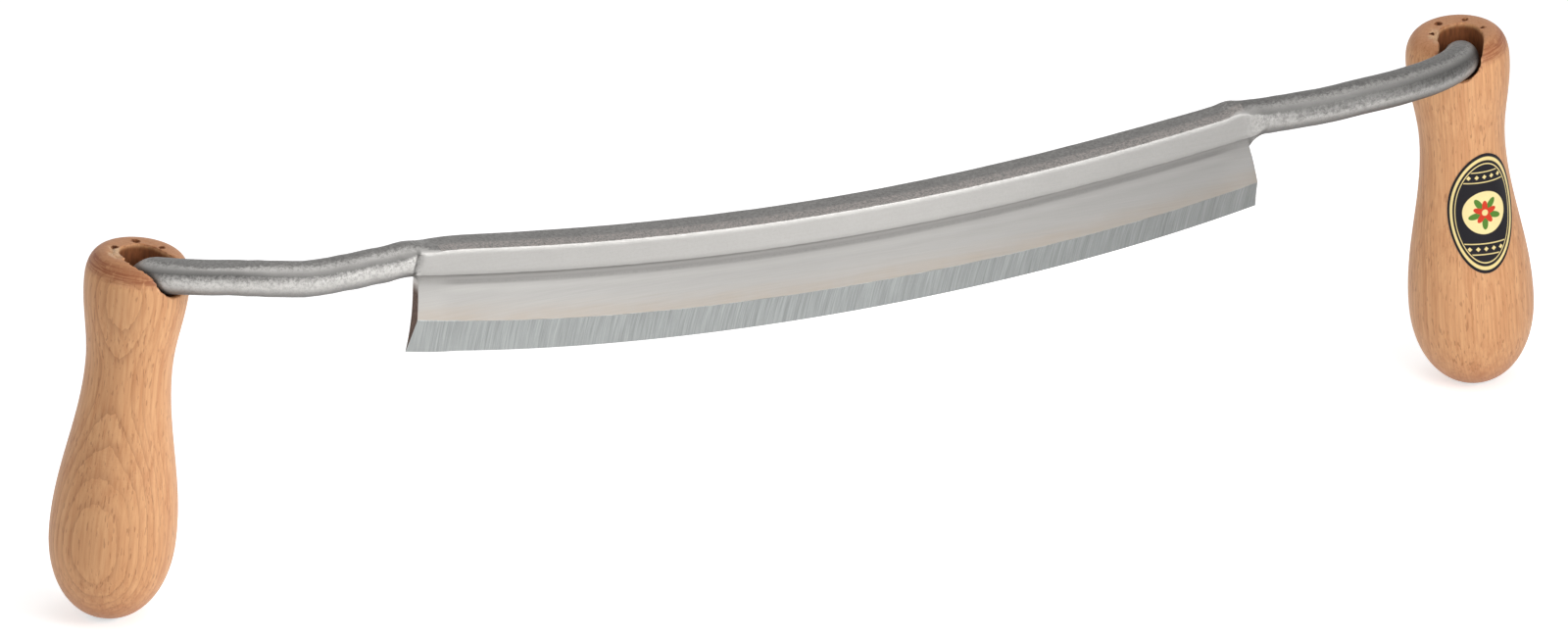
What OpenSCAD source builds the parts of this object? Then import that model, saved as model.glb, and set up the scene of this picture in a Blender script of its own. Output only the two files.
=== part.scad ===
// Curved drawknife. The bowed blade, its thick spine and two bent tangs are one
// forging. Each tang runs out level, sweeps back, enters the knob of a turned
// wooden handle through an open slot, turns down its bore and is peened over a
// washer at the far end.
// The blade's flat back lies in the XZ plane and faces +Y, the edge points down,
// and the origin is the middle of the flat back at mid-length.

/* [Blade] */
// Length of the cutting edge, corner to corner
blade_len = 250; // [180:5:320]
// Height from edge to spine top at mid-length
blade_h = 34.4; // [30:0.2:44]
// Bow of the cutting edge over the blade's length
edge_sag = 10.7; // [5:0.1:16]
// Bow of the spine's top over the blade's length
spine_sag = 9.3; // [4:0.1:14]
// Thickness where the bevel starts
shoulder_t = 4.6; // [3.6:0.1:6]
// Thickness just below the spine
web_t = 3.5; // [2.5:0.1:4.5]
// Height of the ground bevel
bevel_h = 9.6; // [7:0.2:13]
// Lean of the blade's ends in degrees, widest at the edge
end_lean = 8; // [0:1:14]

/* [Spine] */
// Thickness of the spine, front to back
spine_t = 9; // [8:0.2:11]
// Height of the spine's front face
spine_face_h = 8.4; // [7:0.2:10]
// Height of the hollow cove between the spine and the blade
cove_h = 4.6; // [3:0.2:6]
// Bevel on the spine's long edges
spine_edge = 0.8; // [0.3:0.1:1.5]

/* [Tangs] */
// Diameter of the tang bar
tang_d = 9.8; // [8.6:0.1:11]
// Offset of the tang's middle in front of the spine's middle
tang_offset = 0.25; // [0:0.05:0.6]
// Rise of the tang's crown over the end of the spine
tang_rise = 0.5; // [0:0.05:1]
// Length of the tang's straight run beyond the blade
tang_run = 34.8; // [20:0.5:60]
// Climb of the straight run in degrees
tang_climb = 2.4; // [0:0.2:6]
// Radius of the sweep back to the handle
sweep_r = 35.4; // [25:0.5:50]
// Angle of the sweep in degrees
sweep_a = 59.5; // [45:0.5:75]
// Dip of the sweep out of the level in degrees
sweep_dip = 6.4; // [0:0.2:12]
// Radius of the bend down into the handle
drop_r = 8.9; // [7:0.1:14]
// Diameter of the tang's thin end
tenon_d = 6; // [4:0.2:7]
// Depth below the bend at which the tang has its full thickness
spike_len = 8; // [4:1:20]
// Length of the taper to the thin end
taper_len = 34; // [20:1:45]

/* [Handles] */
// Length of a handle
handle_len = 106; // [90:1:130]
// Outward splay of the handles in degrees
splay = 5; // [0:0.25:10]
// Backward lean of the handles in degrees
lean = 2.7; // [0:0.1:8]
// Diameter of the knob at the top
knob_d = 28.4; // [25:0.2:34]
// Depth of the knob's widest ring below the top
knob_at = 8.5; // [6:0.5:14]
// Diameter of the flat on top of the knob
knob_flat_d = 17; // [14.5:0.5:20]
// Diameter of the neck
neck_d = 23.4; // [20:0.2:25]
// Depth of the neck below the top
neck_at = 33; // [26:1:42]
// Diameter of the belly
belly_d = 34.6; // [30:0.2:40]
// Height of the belly's widest ring above the handle's end
belly_up = 25; // [21:1:36]
// Diameter of the round end
butt_d = 32.6; // [28:0.2:35]

/* [Tang holes] */
// Depth of the tang's centre line below the knob's top
tang_sink = 5.1; // [3:0.1:7]
// Play of the tang in the slot on each side
slot_play = 1.45; // [0.6:0.05:2]
// Depth of the wide hole below the slot
pocket_depth = 8; // [4:1:16]
// Play of the tang in its bore on each side
bore_play = 0.3; // [0.2:0.05:0.6]

/* [Washers] */
// Diameter of the washer at the handle's end
washer_d = 11; // [9.5:0.5:13]
// Thickness of the washer
washer_t = 1.5; // [1:0.1:2]
// Play of the washer in its recess and on the tang
washer_play = 0.2; // [0.1:0.05:0.4]
// Depth of the washer's seat in the handle's end
washer_seat = 2.6; // [2.2:0.1:4]
// Height of the peened head over the washer
peen_h = 1; // [0.6:0.1:1.4]
// Spread of the peened head beyond the tang on each side
peen_lip = 1.2; // [0.6:0.1:1.5]

/* [Label] */
// Width of the label across the handle
label_w = 22; // [14:0.5:25]
// Height of the label along the handle
label_h = 35; // [26:1:38]
// Thickness of the label
label_t = 0.25; // [0.15:0.05:0.4]
// Depth of the label's middle below the knob's top
label_at = 49.5; // [44:0.5:56]
// Turn of the label from the slot in degrees
label_turn = 30; // [0:1:60]
// Film of glue under the label
glue_t = 0.05; // [0.02:0.01:0.1]

/* [Hidden] */
$fn = 96;
hull_fn = 32;
// Ball, a hair thicker than the bar, that joins two stretches of the tang
knuckle_d = tang_d + 0.1;
// Both ends of the tang's root lie this far inside the spine and the bar
root_inset = 0.2;
beech = [0.80, 0.56, 0.36];
forged_steel = [0.62, 0.63, 0.64];
washer_steel = [0.70, 0.70, 0.71];
label_black = [0.10, 0.10, 0.09];

half_len = blade_len / 2;
edge_r = arc_radius(edge_sag);
spine_r = arc_radius(spine_sag);
corner_z = edge_sag - blade_h / 2;
end_margin = 5;

// The spine gives way to the round tang over this stretch
tang_blend = 8;
spine_end = half_len - tang_blend;
spine_end_a = asin(spine_end / spine_r);
spine_end_z = blade_h / 2 + spine_r * (1 - cos(spine_end_a));
slice = 0.4;

// Middle of the tang where it leaves the blade
tang_start = [half_len, -spine_t / 2 - tang_offset, spine_end_z - tang_d / 2 + tang_rise];

// Direction of the right handle, pointing down, and the same seen from the end of the sweep
handle_dir = unit([tan(splay), tan(lean), -1]);
dir_at_sweep = turn_z(turn_x(turn_y(handle_dir, tang_climb), sweep_dip), -sweep_a);
drop_a = acos(dir_at_sweep.x);
drop_roll = atan2(dir_at_sweep.y, -dir_at_sweep.z);

// Heights along the handle, from the end of the bend down
cross_z = drop_r * tan(drop_a / 2);
top_z = cross_z + tang_sink;
tip_z = top_z - handle_len;
butt_r = butt_d / 2;
butt_at = handle_len - butt_r;
belly_at = handle_len - belly_up;
washer_z = tip_z + washer_seat - washer_t;
taper_z = -spike_len - taper_len;
slot_d = tang_d + 2 * slot_play;
pocket_z = cross_z - slot_d / 2 - pocket_depth;
bore_d = tang_d + 2 * bore_play;
tenon_bore_d = tenon_d + 2 * bore_play;

function arc_radius(sag) = (pow(half_len, 2) + pow(sag, 2)) / (2 * sag);
function unit(v) = v / norm(v);
function turn_x(v, a) = [v.x, v.y * cos(a) - v.z * sin(a), v.y * sin(a) + v.z * cos(a)];
function turn_y(v, a) = [v.x * cos(a) + v.z * sin(a), v.y, v.z * cos(a) - v.x * sin(a)];
function turn_z(v, a) = [v.x * cos(a) - v.y * sin(a), v.x * sin(a) + v.y * cos(a), v.z];
function ease(a, b, s) = a + (b - a) * (1 - cos(180 * s)) / 2;

// Outline of a handle as [radius, depth below the top]
function knob_round() = [for (a = [0:10:80])
    [knob_flat_d / 2 + (knob_d - knob_flat_d) / 2 * sin(a), knob_at * (1 - cos(a))]];
function waist() = [for (s = [0:0.125:1])
    [ease(knob_d, neck_d, s) / 2, knob_at + s * (neck_at - knob_at)]];
function flare() = [for (s = [0.0625:0.0625:1])
    [ease(neck_d, belly_d, s) / 2, neck_at + s * (belly_at - neck_at)]];
function tuck() = [for (s = [0.25:0.25:1])
    [ease(belly_d, butt_d, s) / 2, belly_at + s * (butt_at - belly_at)]];
function butt() = [for (a = [9:9:90])
    [butt_r * cos(a), butt_at + butt_r * sin(a)]];
function handle_outline() = concat(knob_round(), waist(), flare(), tuck(), butt());

// Radius of the handle's flare at a given depth
function flare_radius(depth) =
    depth < neck_at
        ? ease(knob_d, neck_d, (depth - knob_at) / (neck_at - knob_at)) / 2
        : ease(neck_d, belly_d, (depth - neck_at) / (belly_at - neck_at)) / 2;

// Turns a profile, drawn as [radius, thickness forward of the back], about an axis along Y
module bowed(axis_z, radius) {
    span = asin((half_len + end_margin) / radius);
    translate([0, 0, axis_z])
        rotate([90, 0, 0])
            rotate([0, 0, -90 - span])
                rotate_extrude(angle = 2 * span, $fn = 360)
                    children();
}

// Ground plate below the spine, from the edge up into the spine bar
module blade_plate() {
    web_r = edge_r - blade_h + spine_face_h + cove_h;
    intersection() {
        bowed(edge_r - blade_h / 2, edge_r)
            polygon([
                [edge_r, 0],
                [edge_r - bevel_h, shoulder_t],
                [web_r, web_t],
                [edge_r - blade_h + spine_face_h / 2, web_t],
                [edge_r - blade_h + spine_face_h / 2, 0]
            ]);
        blade_window();
    }
}

// Space between the leaning blade ends
module blade_window() {
    low_z = -blade_h / 2 - end_margin;
    high_z = blade_h / 2 + spine_sag;
    low_x = half_len + (corner_z - low_z) * tan(end_lean);
    high_x = half_len + (corner_z - high_z) * tan(end_lean);
    translate([0, end_margin, 0])
        rotate([90, 0, 0])
            linear_extrude(spine_t + 2 * end_margin)
                polygon([[-low_x, low_z], [low_x, low_z], [high_x, high_z], [-high_x, high_z]]);
}

// Cross-section of the spine bar as [depth below its top, thickness]
function spine_outline() = [
    [0, spine_edge / 2],
    [0, spine_t - spine_edge],
    [spine_edge, spine_t],
    [spine_face_h - spine_edge, spine_t],
    [spine_face_h, spine_t - spine_edge]
];

// Bar along the top of the blade, with the hollow cove under its front face
module spine_bar() {
    cove_w = spine_t - spine_edge - web_t;
    intersection() {
        bowed(spine_r + blade_h / 2, spine_r)
            translate([spine_r, 0])
                polygon(concat(
                    [[spine_edge / 2, 0]],
                    spine_outline(),
                    [for (a = [15:15:90])
                        [spine_face_h + cove_h * (1 - cos(a)), web_t + cove_w * (1 - sin(a))]],
                    [[spine_face_h + cove_h, 0]]
                ));
        translate([-spine_end, -spine_t - 1, -blade_h])
            cube([2 * spine_end, spine_t + 2, 3 * blade_h]);
    }
}

// Rounds the end of the spine bar into the tang
module tang_root() {
    hull() {
        translate([0, 0, spine_r + blade_h / 2])
            rotate([0, -spine_end_a, 0])
                translate([-slice, 0, -spine_r])
                    rotate([90, 0, 90])
                        linear_extrude(slice)
                            offset(delta = -root_inset)
                                polygon([for (p = concat([[spine_edge / 2, 0]], spine_outline(), [[spine_face_h, 0]]))
                                    [-p[1], -p[0]]]);
        at_tang()
            rotate([0, 90, 0])
                cylinder(d = tang_d - 2 * root_inset, h = slice, $fn = hull_fn);
    }
}

// Frame of the right tang: X runs out along its straight part
module at_tang() {
    translate(tang_start)
        rotate([0, -tang_climb, 0])
            rotate([-sweep_dip, 0, 0])
                children();
}

// Frame of the sweep's far end: X runs on along the bar, and the bend turns it towards -Z
module at_bend() {
    at_tang()
        translate([tang_run + sweep_r * sin(sweep_a), sweep_r * (1 - cos(sweep_a)), 0])
            rotate([0, 0, sweep_a])
                rotate([drop_roll, 0, 0])
                    children();
}

// Frame of the right handle: +Z runs up its axis, the tang arrives from -X,
// and the bend down ends at Z = 0
module at_handle() {
    at_bend()
        translate([drop_r * sin(drop_a), 0, drop_r * (cos(drop_a) - 1)])
            rotate([0, drop_a - 90, 0])
                children();
}

// Mirrors the right side's pieces to the left
module on_left() {
    mirror([1, 0, 0])
        children();
}

// Straight run, sweep and bend of the right tang
module tang_bar() {
    at_tang() {
        rotate([0, 90, 0])
            cylinder(d = tang_d, h = tang_run);
        translate([tang_run, sweep_r, 0])
            rotate([0, 0, -90])
                rotate_extrude(angle = sweep_a)
                    translate([sweep_r, 0])
                        circle(d = tang_d);
    }
    at_bend() {
        sphere(d = knuckle_d);
        translate([0, 0, -drop_r])
            rotate([90, 0, 0])
                rotate([0, 0, 90 - drop_a])
                    rotate_extrude(angle = drop_a)
                        translate([drop_r, 0])
                            circle(d = tang_d);
    }
}

// Part of the tang inside the handle, with its peened head
module tang_spike() {
    at_handle() {
        sphere(d = knuckle_d);
        rotate_extrude()
            polygon([
                [0, 0],
                [tang_d / 2, 0],
                [tang_d / 2, -spike_len],
                [tenon_d / 2, taper_z],
                [tenon_d / 2, washer_z],
                [tenon_d / 2 + peen_lip, washer_z],
                [tenon_d / 2 + peen_lip / 2, washer_z - peen_h * 0.7],
                [tenon_d / 4, washer_z - peen_h],
                [0, washer_z - peen_h]
            ]);
    }
}

module right_tang() {
    tang_root();
    tang_bar();
    tang_spike();
}

module blade_with_tangs() {
    color(forged_steel) {
        blade_plate();
        spine_bar();
        right_tang();
        on_left()
            right_tang();
    }
}

// Solid turned shape of a handle
module handle_blank() {
    translate([0, 0, top_z])
        rotate_extrude()
            polygon(concat([[0, 0]], [for (p = handle_outline()) [max(p[0], 0), -p[1]]]));
}

// Room for the tang: open slot, wide hole, stepped bore and washer recess
module tang_way() {
    wide = knob_d;
    translate([0, 0, pocket_z])
        cylinder(d = slot_d, h = top_z - pocket_z + 1);
    translate([0, 0, cross_z])
        rotate([0, drop_a - 180, 0]) {
            cylinder(d = slot_d, h = wide);
            translate([0, -slot_d / 2, 0])
                cube([slot_d + tang_sink, slot_d, wide]);
        }
    translate([0, 0, taper_z])
        cylinder(d = bore_d, h = pocket_z - taper_z + 1);
    translate([0, 0, tip_z - 1])
        cylinder(d = tenon_bore_d, h = handle_len);
    translate([0, 0, tip_z - 1])
        cylinder(d = washer_d + 2 * washer_play, h = washer_seat + 1);
}

module handle() {
    color(beech)
        difference() {
            handle_blank();
            tang_way();
        }
}

module right_handle() {
    at_handle()
        handle();
}

module left_handle() {
    on_left()
        at_handle()
            handle();
}

// Washer under the peened end of the tang
module washer() {
    color(washer_steel)
        translate([0, 0, washer_z])
            difference() {
                cylinder(d = washer_d, h = washer_t);
                translate([0, 0, -1])
                    cylinder(d = tenon_d + washer_play, h = washer_t + 2);
            }
}

module right_washer() {
    at_handle()
        washer();
}

module left_washer() {
    on_left()
        at_handle()
            washer();
}

// Oval paper label, bent round the neck of the right handle
module handle_label() {
    low = label_at - label_h / 2 - 1;
    high = label_at + label_h / 2 + 1;
    steps = 14;
    depths = [for (i = [0:steps]) low + (high - low) * i / steps];
    color(label_black)
        at_handle()
            translate([0, 0, top_z])
                intersection() {
                    rotate_extrude()
                        polygon(concat(
                            [for (d = depths) [flare_radius(d) + glue_t + label_t, -d]],
                            [for (i = [0:steps]) [flare_radius(depths[steps - i]) + glue_t, -depths[steps - i]]]
                        ));
                    rotate([0, 0, label_turn])
                        translate([0, 0, -label_at])
                            rotate([90, 0, -90])
                                linear_extrude(belly_d)
                                    polygon([for (a = [0:10:350])
                                        [label_w / 2 * cos(a), label_h / 2 * sin(a)]]);
                }
}

blade_with_tangs();
left_handle();
right_handle();
left_washer();
right_washer();
handle_label();
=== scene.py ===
"""Looks of a curved drawknife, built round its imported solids.

The forging, the two turned handles, their washers and the paper label are
modelled again in finer detail. Each piece stands for the solid of its own
name and keeps that solid's place. Lengths are in millimetres until a mesh is
made, and angles are in degrees.
"""

import logging
import math
from dataclasses import dataclass, field
from enum import Enum
from typing import Callable, Iterable

import bmesh
import bpy
from mathutils import Matrix, Vector, noise
from mathutils.bvhtree import BVHTree


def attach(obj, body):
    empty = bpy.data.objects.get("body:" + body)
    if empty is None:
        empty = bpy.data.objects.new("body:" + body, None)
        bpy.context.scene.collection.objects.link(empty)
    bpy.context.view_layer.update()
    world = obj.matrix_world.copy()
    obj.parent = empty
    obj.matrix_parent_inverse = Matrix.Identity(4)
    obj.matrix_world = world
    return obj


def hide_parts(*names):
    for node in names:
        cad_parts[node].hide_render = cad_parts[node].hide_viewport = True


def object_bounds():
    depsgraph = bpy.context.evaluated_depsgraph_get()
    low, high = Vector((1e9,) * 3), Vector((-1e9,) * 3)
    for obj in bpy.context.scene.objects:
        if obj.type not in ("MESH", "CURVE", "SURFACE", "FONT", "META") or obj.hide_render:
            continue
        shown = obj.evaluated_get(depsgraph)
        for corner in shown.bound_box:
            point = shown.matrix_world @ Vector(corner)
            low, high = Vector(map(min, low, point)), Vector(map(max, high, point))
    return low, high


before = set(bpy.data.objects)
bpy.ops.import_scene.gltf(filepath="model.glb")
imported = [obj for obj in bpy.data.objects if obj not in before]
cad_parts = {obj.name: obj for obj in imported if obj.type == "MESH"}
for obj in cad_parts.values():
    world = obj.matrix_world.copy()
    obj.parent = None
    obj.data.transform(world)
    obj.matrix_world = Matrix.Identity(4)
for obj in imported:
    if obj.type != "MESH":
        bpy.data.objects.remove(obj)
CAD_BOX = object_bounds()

MM = 0.001
BODY = "root"
log = logging.getLogger("drawknife")

Colour = tuple[float, float, float]
Point = tuple[float, float, float]


def srgb(red: int, green: int, blue: int) -> tuple[float, float, float, float]:
    """Turns an 8-bit screen colour into the linear colour that a shader takes.

    Args:
        red, green, blue: The channels, from 0 to 255.

    Returns:
        The linear colour with full alpha.
    """
    def linear(channel: int) -> float:
        """One channel."""
        c = channel / 255
        return c / 12.92 if c <= 0.04045 else ((c + 0.055) / 1.055) ** 2.4

    return (linear(red), linear(green), linear(blue), 1.0)


def turn(axis: str, angle: float) -> Matrix:
    """A turn about one axis, in degrees."""
    return Matrix.Rotation(math.radians(angle), 4, axis)


def glide(share: float) -> float:
    """Smooth step from 0 to 1."""
    t = min(max(share, 0.0), 1.0)
    return t * t * (3 - 2 * t)


def cosine_blend(a: float, b: float, share: float) -> float:
    """Goes from a to b on half a cosine wave, as the turned profile does."""
    return a + (b - a) * (1 - math.cos(math.pi * share)) / 2


def through(knots: list[tuple[float, float]], at: float) -> float:
    """Reads a smooth curve through a few knots.

    Args:
        knots: Pairs of place and value, in rising order of place.
        at: The place to read.

    Returns:
        The value there, held flat beyond both ends.
    """
    if at <= knots[0][0]:
        return knots[0][1]
    for (x0, v0), (x1, v1) in zip(knots, knots[1:]):
        if at <= x1:
            return cosine_blend(v0, v1, (at - x0) / (x1 - x0))
    return knots[-1][1]


# Bench: how pieces are started, shaped and finished


def clear_bench() -> None:
    """Leaves object mode with nothing selected."""
    if bpy.context.object and bpy.context.object.mode != "OBJECT":
        bpy.ops.object.mode_set(mode="OBJECT")
    bpy.ops.object.select_all(action="DESELECT")


def take(piece: bpy.types.Object) -> None:
    """Makes a piece the only selected one."""
    clear_bench()
    piece.select_set(True)
    bpy.context.view_layer.objects.active = piece


def started(name: str) -> bpy.types.Object:
    """Names the primitive that was just added."""
    piece = bpy.context.active_object
    piece.name = piece.data.name = name
    return piece


def fit_modifier(piece: bpy.types.Object, kind: str, **settings: object) -> None:
    """Adds one modifier to a piece and applies it.

    Args:
        piece: The piece to work on.
        kind: The modifier's type.
        settings: Its settings by name.
    """
    take(piece)
    bpy.ops.object.modifier_add(type=kind)
    modifier = piece.modifiers[-1]
    for key, value in settings.items():
        setattr(modifier, key, value)
    bpy.ops.object.modifier_apply(modifier=modifier.name)


def carve(piece: bpy.types.Object, cutter: bpy.types.Object) -> None:
    """Cuts one shape out of a piece, and throws the cutter away."""
    fit_modifier(piece, "BOOLEAN", operation="DIFFERENCE", solver="EXACT", object=cutter)
    mesh = cutter.data
    bpy.data.objects.remove(cutter)
    bpy.data.meshes.remove(mesh)


def settle(piece: bpy.types.Object, place: Matrix, mirrored: bool) -> None:
    """Puts a piece that was made in a handle's frame where it belongs.

    Args:
        piece: The piece, in millimetres of the handle's frame.
        place: The handle's frame, in millimetres of the part.
        mirrored: True for the left side.
    """
    side = Matrix.Scale(-1, 4, (1, 0, 0)) if mirrored else Matrix.Identity(4)
    take(piece)
    piece.matrix_world = Matrix.Scale(MM, 4) @ side @ place
    bpy.ops.object.transform_apply(location=True, rotation=True, scale=True)
    bpy.ops.object.mode_set(mode="EDIT")
    bpy.ops.mesh.select_all(action="SELECT")
    bpy.ops.mesh.normals_make_consistent(inside=False)
    bpy.ops.object.mode_set(mode="OBJECT")


def smooth(piece: bpy.types.Object, crease: float) -> None:
    """Shades a piece smooth, with creases over the given angle."""
    take(piece)
    bpy.ops.object.shade_smooth_by_angle(angle=math.radians(crease), keep_sharp_edges=True)


def turned(name: str, outline: list[tuple[float, float]], steps: int, closed: bool = False) -> bpy.types.Object:
    """Turns an outline about the Z axis, as on a lathe.

    Args:
        name: The piece's name.
        outline: Points as radius and height. An open outline starts and ends
            on the axis.
        steps: Number of steps in the turn.
        closed: True for a ring, whose outline goes round and back.

    Returns:
        The closed piece.
    """
    clear_bench()
    bpy.ops.mesh.primitive_circle_add(vertices=len(outline), radius=1, fill_type="NOTHING")
    piece = started(name)
    for vertex, (radius, height) in zip(piece.data.vertices, outline):
        vertex.co = (radius, 0, height)
    bpy.ops.object.mode_set(mode="EDIT")
    if not closed:
        shape = bmesh.from_edit_mesh(piece.data)
        for edge in shape.edges:
            edge.select = all(abs(v.co.x) < 1e-6 for v in edge.verts)
        bpy.ops.mesh.select_mode(type="EDGE")
        bpy.ops.mesh.delete(type="EDGE")
    bpy.ops.mesh.select_all(action="SELECT")
    bpy.ops.mesh.spin(steps=steps, angle=math.tau, center=(0, 0, 0), axis=(0, 0, 1))
    bpy.ops.mesh.select_all(action="SELECT")
    bpy.ops.mesh.remove_doubles(threshold=0.001)
    bpy.ops.mesh.normals_make_consistent(inside=False)
    bpy.ops.object.mode_set(mode="OBJECT")
    return piece


class DrawnSkin:
    """A skin that is drawn out ring by ring, as a smith draws out a bar.

    Each vertex remembers its seat, its number in the ring, and the extruded
    ring takes over the seats of the ring before it.
    """

    def __init__(self, name: str, ring: list[Point]) -> None:
        """Starts the skin from a circle.

        Args:
            name: The piece's name.
            ring: The first ring's points by seat.
        """
        clear_bench()
        bpy.ops.mesh.primitive_circle_add(vertices=len(ring), radius=1, fill_type="NOTHING")
        self.piece = started(name)
        bpy.ops.object.mode_set(mode="EDIT")
        bpy.ops.mesh.select_mode(type="VERT")
        shape = bmesh.from_edit_mesh(self.piece.data)
        seat = shape.verts.layers.int.new("seat")
        for number, vertex in enumerate(shape.verts):
            vertex[seat] = number
            vertex.co = ring[number]

    def _shape(self) -> tuple[bmesh.types.BMesh, bmesh.types.BMLayerItem]:
        """The mesh in edit mode and its layer of seats."""
        shape = bmesh.from_edit_mesh(self.piece.data)
        return shape, shape.verts.layers.int["seat"]

    def pick_edges(self, wanted: Callable[[bmesh.types.BMEdge, int, int], bool]) -> None:
        """Selects the edges for which a test on the edge and its two seats holds."""
        bpy.ops.mesh.select_mode(type="EDGE")
        bpy.ops.mesh.select_all(action="DESELECT")
        shape, seat = self._shape()
        for edge in shape.edges:
            a, b = (v[seat] for v in edge.verts)
            edge.select = wanted(edge, a, b)
        shape.select_flush_mode()

    def draw_out(self, place: Callable[[int], Point]) -> None:
        """Extrudes the selected ring by one step.

        Args:
            place: Gives the new point of each seat.
        """
        bpy.ops.mesh.extrude_region_move(TRANSFORM_OT_translate={"value": (0, 0, 0)})
        shape, seat = self._shape()
        for vertex in shape.verts:
            if vertex.select:
                vertex.co = place(vertex[seat])

    def seat_new(self, first: int, key: Callable[[bmesh.types.BMVert], float], skip: set[int]) -> None:
        """Gives seats, from first on, to selected vertices outside skip, sorted by key."""
        shape, seat = self._shape()
        kept = {v for v in shape.verts if v.select}
        ends = {v for v in kept for e in v.link_edges if e.other_vert(v) not in kept and v[seat] in skip}
        for number, vertex in enumerate(sorted(kept - ends, key=key)):
            vertex[seat] = first + number

    def finish(self, scale: float = MM) -> bpy.types.Object:
        """Turns the skin outwards, leaves edit mode and scales the piece."""
        bpy.ops.mesh.select_all(action="SELECT")
        bpy.ops.mesh.normals_make_consistent(inside=False)
        bpy.ops.object.mode_set(mode="OBJECT")
        self.piece.scale = (scale, scale, scale)
        take(self.piece)
        bpy.ops.object.transform_apply(location=False, rotation=False, scale=True)
        self.piece.data.attributes.remove(self.piece.data.attributes["seat"])
        return self.piece


# The two sides, the tang's route and the handle's frame


class Side(Enum):
    """The two sides of the tool."""

    LEFT = "left"
    RIGHT = "right"

    @property
    def mirrored(self) -> bool:
        """True for the left side, whose pieces mirror the right side's."""
        return self is Side.LEFT

    @property
    def sign(self) -> int:
        """1 for the right side, -1 for the left."""
        return -1 if self.mirrored else 1


@dataclass(frozen=True)
class TangRoute:
    """Centre line of the right tang, from the blade's end into the handle."""

    start: Point = (125.0, -4.75, 20.942)
    climb: float = 2.4
    dip: float = 6.4
    run: float = 34.8
    sweep_r: float = 35.4
    sweep_a: float = 59.5
    drop_r: float = 8.9
    splay: float = 5.0
    lean: float = 2.7
    tang_sink: float = 5.1
    handle_len: float = 106.0

    def at_tang(self) -> Matrix:
        """Frame of the straight run, with X along it."""
        return Matrix.Translation(self.start) @ turn("Y", -self.climb) @ turn("X", -self.dip)

    def aim(self) -> Vector:
        """Direction of the handle, seen from the end of the sweep."""
        down = Vector((math.tan(math.radians(self.splay)), math.tan(math.radians(self.lean)), -1)).normalized()
        return turn("Z", -self.sweep_a) @ turn("X", self.dip) @ turn("Y", self.climb) @ down

    @property
    def drop_a(self) -> float:
        """Angle of the bend down into the handle."""
        return math.degrees(math.acos(self.aim().x))

    @property
    def drop_roll(self) -> float:
        """Roll of that bend about the bar."""
        return math.degrees(math.atan2(self.aim().y, -self.aim().z))

    def along_sweep(self, angle: float) -> Matrix:
        """Frame on the sweep at an angle from its start."""
        a = math.radians(angle)
        step = (self.run + self.sweep_r * math.sin(a), self.sweep_r * (1 - math.cos(a)), 0)
        return self.at_tang() @ Matrix.Translation(step) @ turn("Z", angle)

    def along_bend(self, angle: float) -> Matrix:
        """Frame on the bend down at an angle from its start."""
        a = math.radians(angle)
        step = (self.drop_r * math.sin(a), 0, self.drop_r * (math.cos(a) - 1))
        return self.along_sweep(self.sweep_a) @ turn("X", self.drop_roll) @ Matrix.Translation(step) @ turn("Y", angle)

    def at_handle(self) -> Matrix:
        """Frame of the handle: Z up its axis, and the tang arrives from -X."""
        return self.along_bend(self.drop_a) @ turn("Y", -90)

    def on_straight(self, x: float) -> Matrix:
        """Frame on the straight run at a distance from the blade's middle."""
        return self.at_tang() @ Matrix.Translation((x - self.start[0], 0, 0))

    @property
    def cross_z(self) -> float:
        """Height at which the bar's line meets the handle's axis."""
        return self.drop_r * math.tan(math.radians(self.drop_a / 2))

    @property
    def top_z(self) -> float:
        """Height of the handle's top in its own frame."""
        return self.cross_z + self.tang_sink

    @property
    def tip_z(self) -> float:
        """Height of the handle's lower end in its own frame."""
        return self.top_z - self.handle_len


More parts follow.
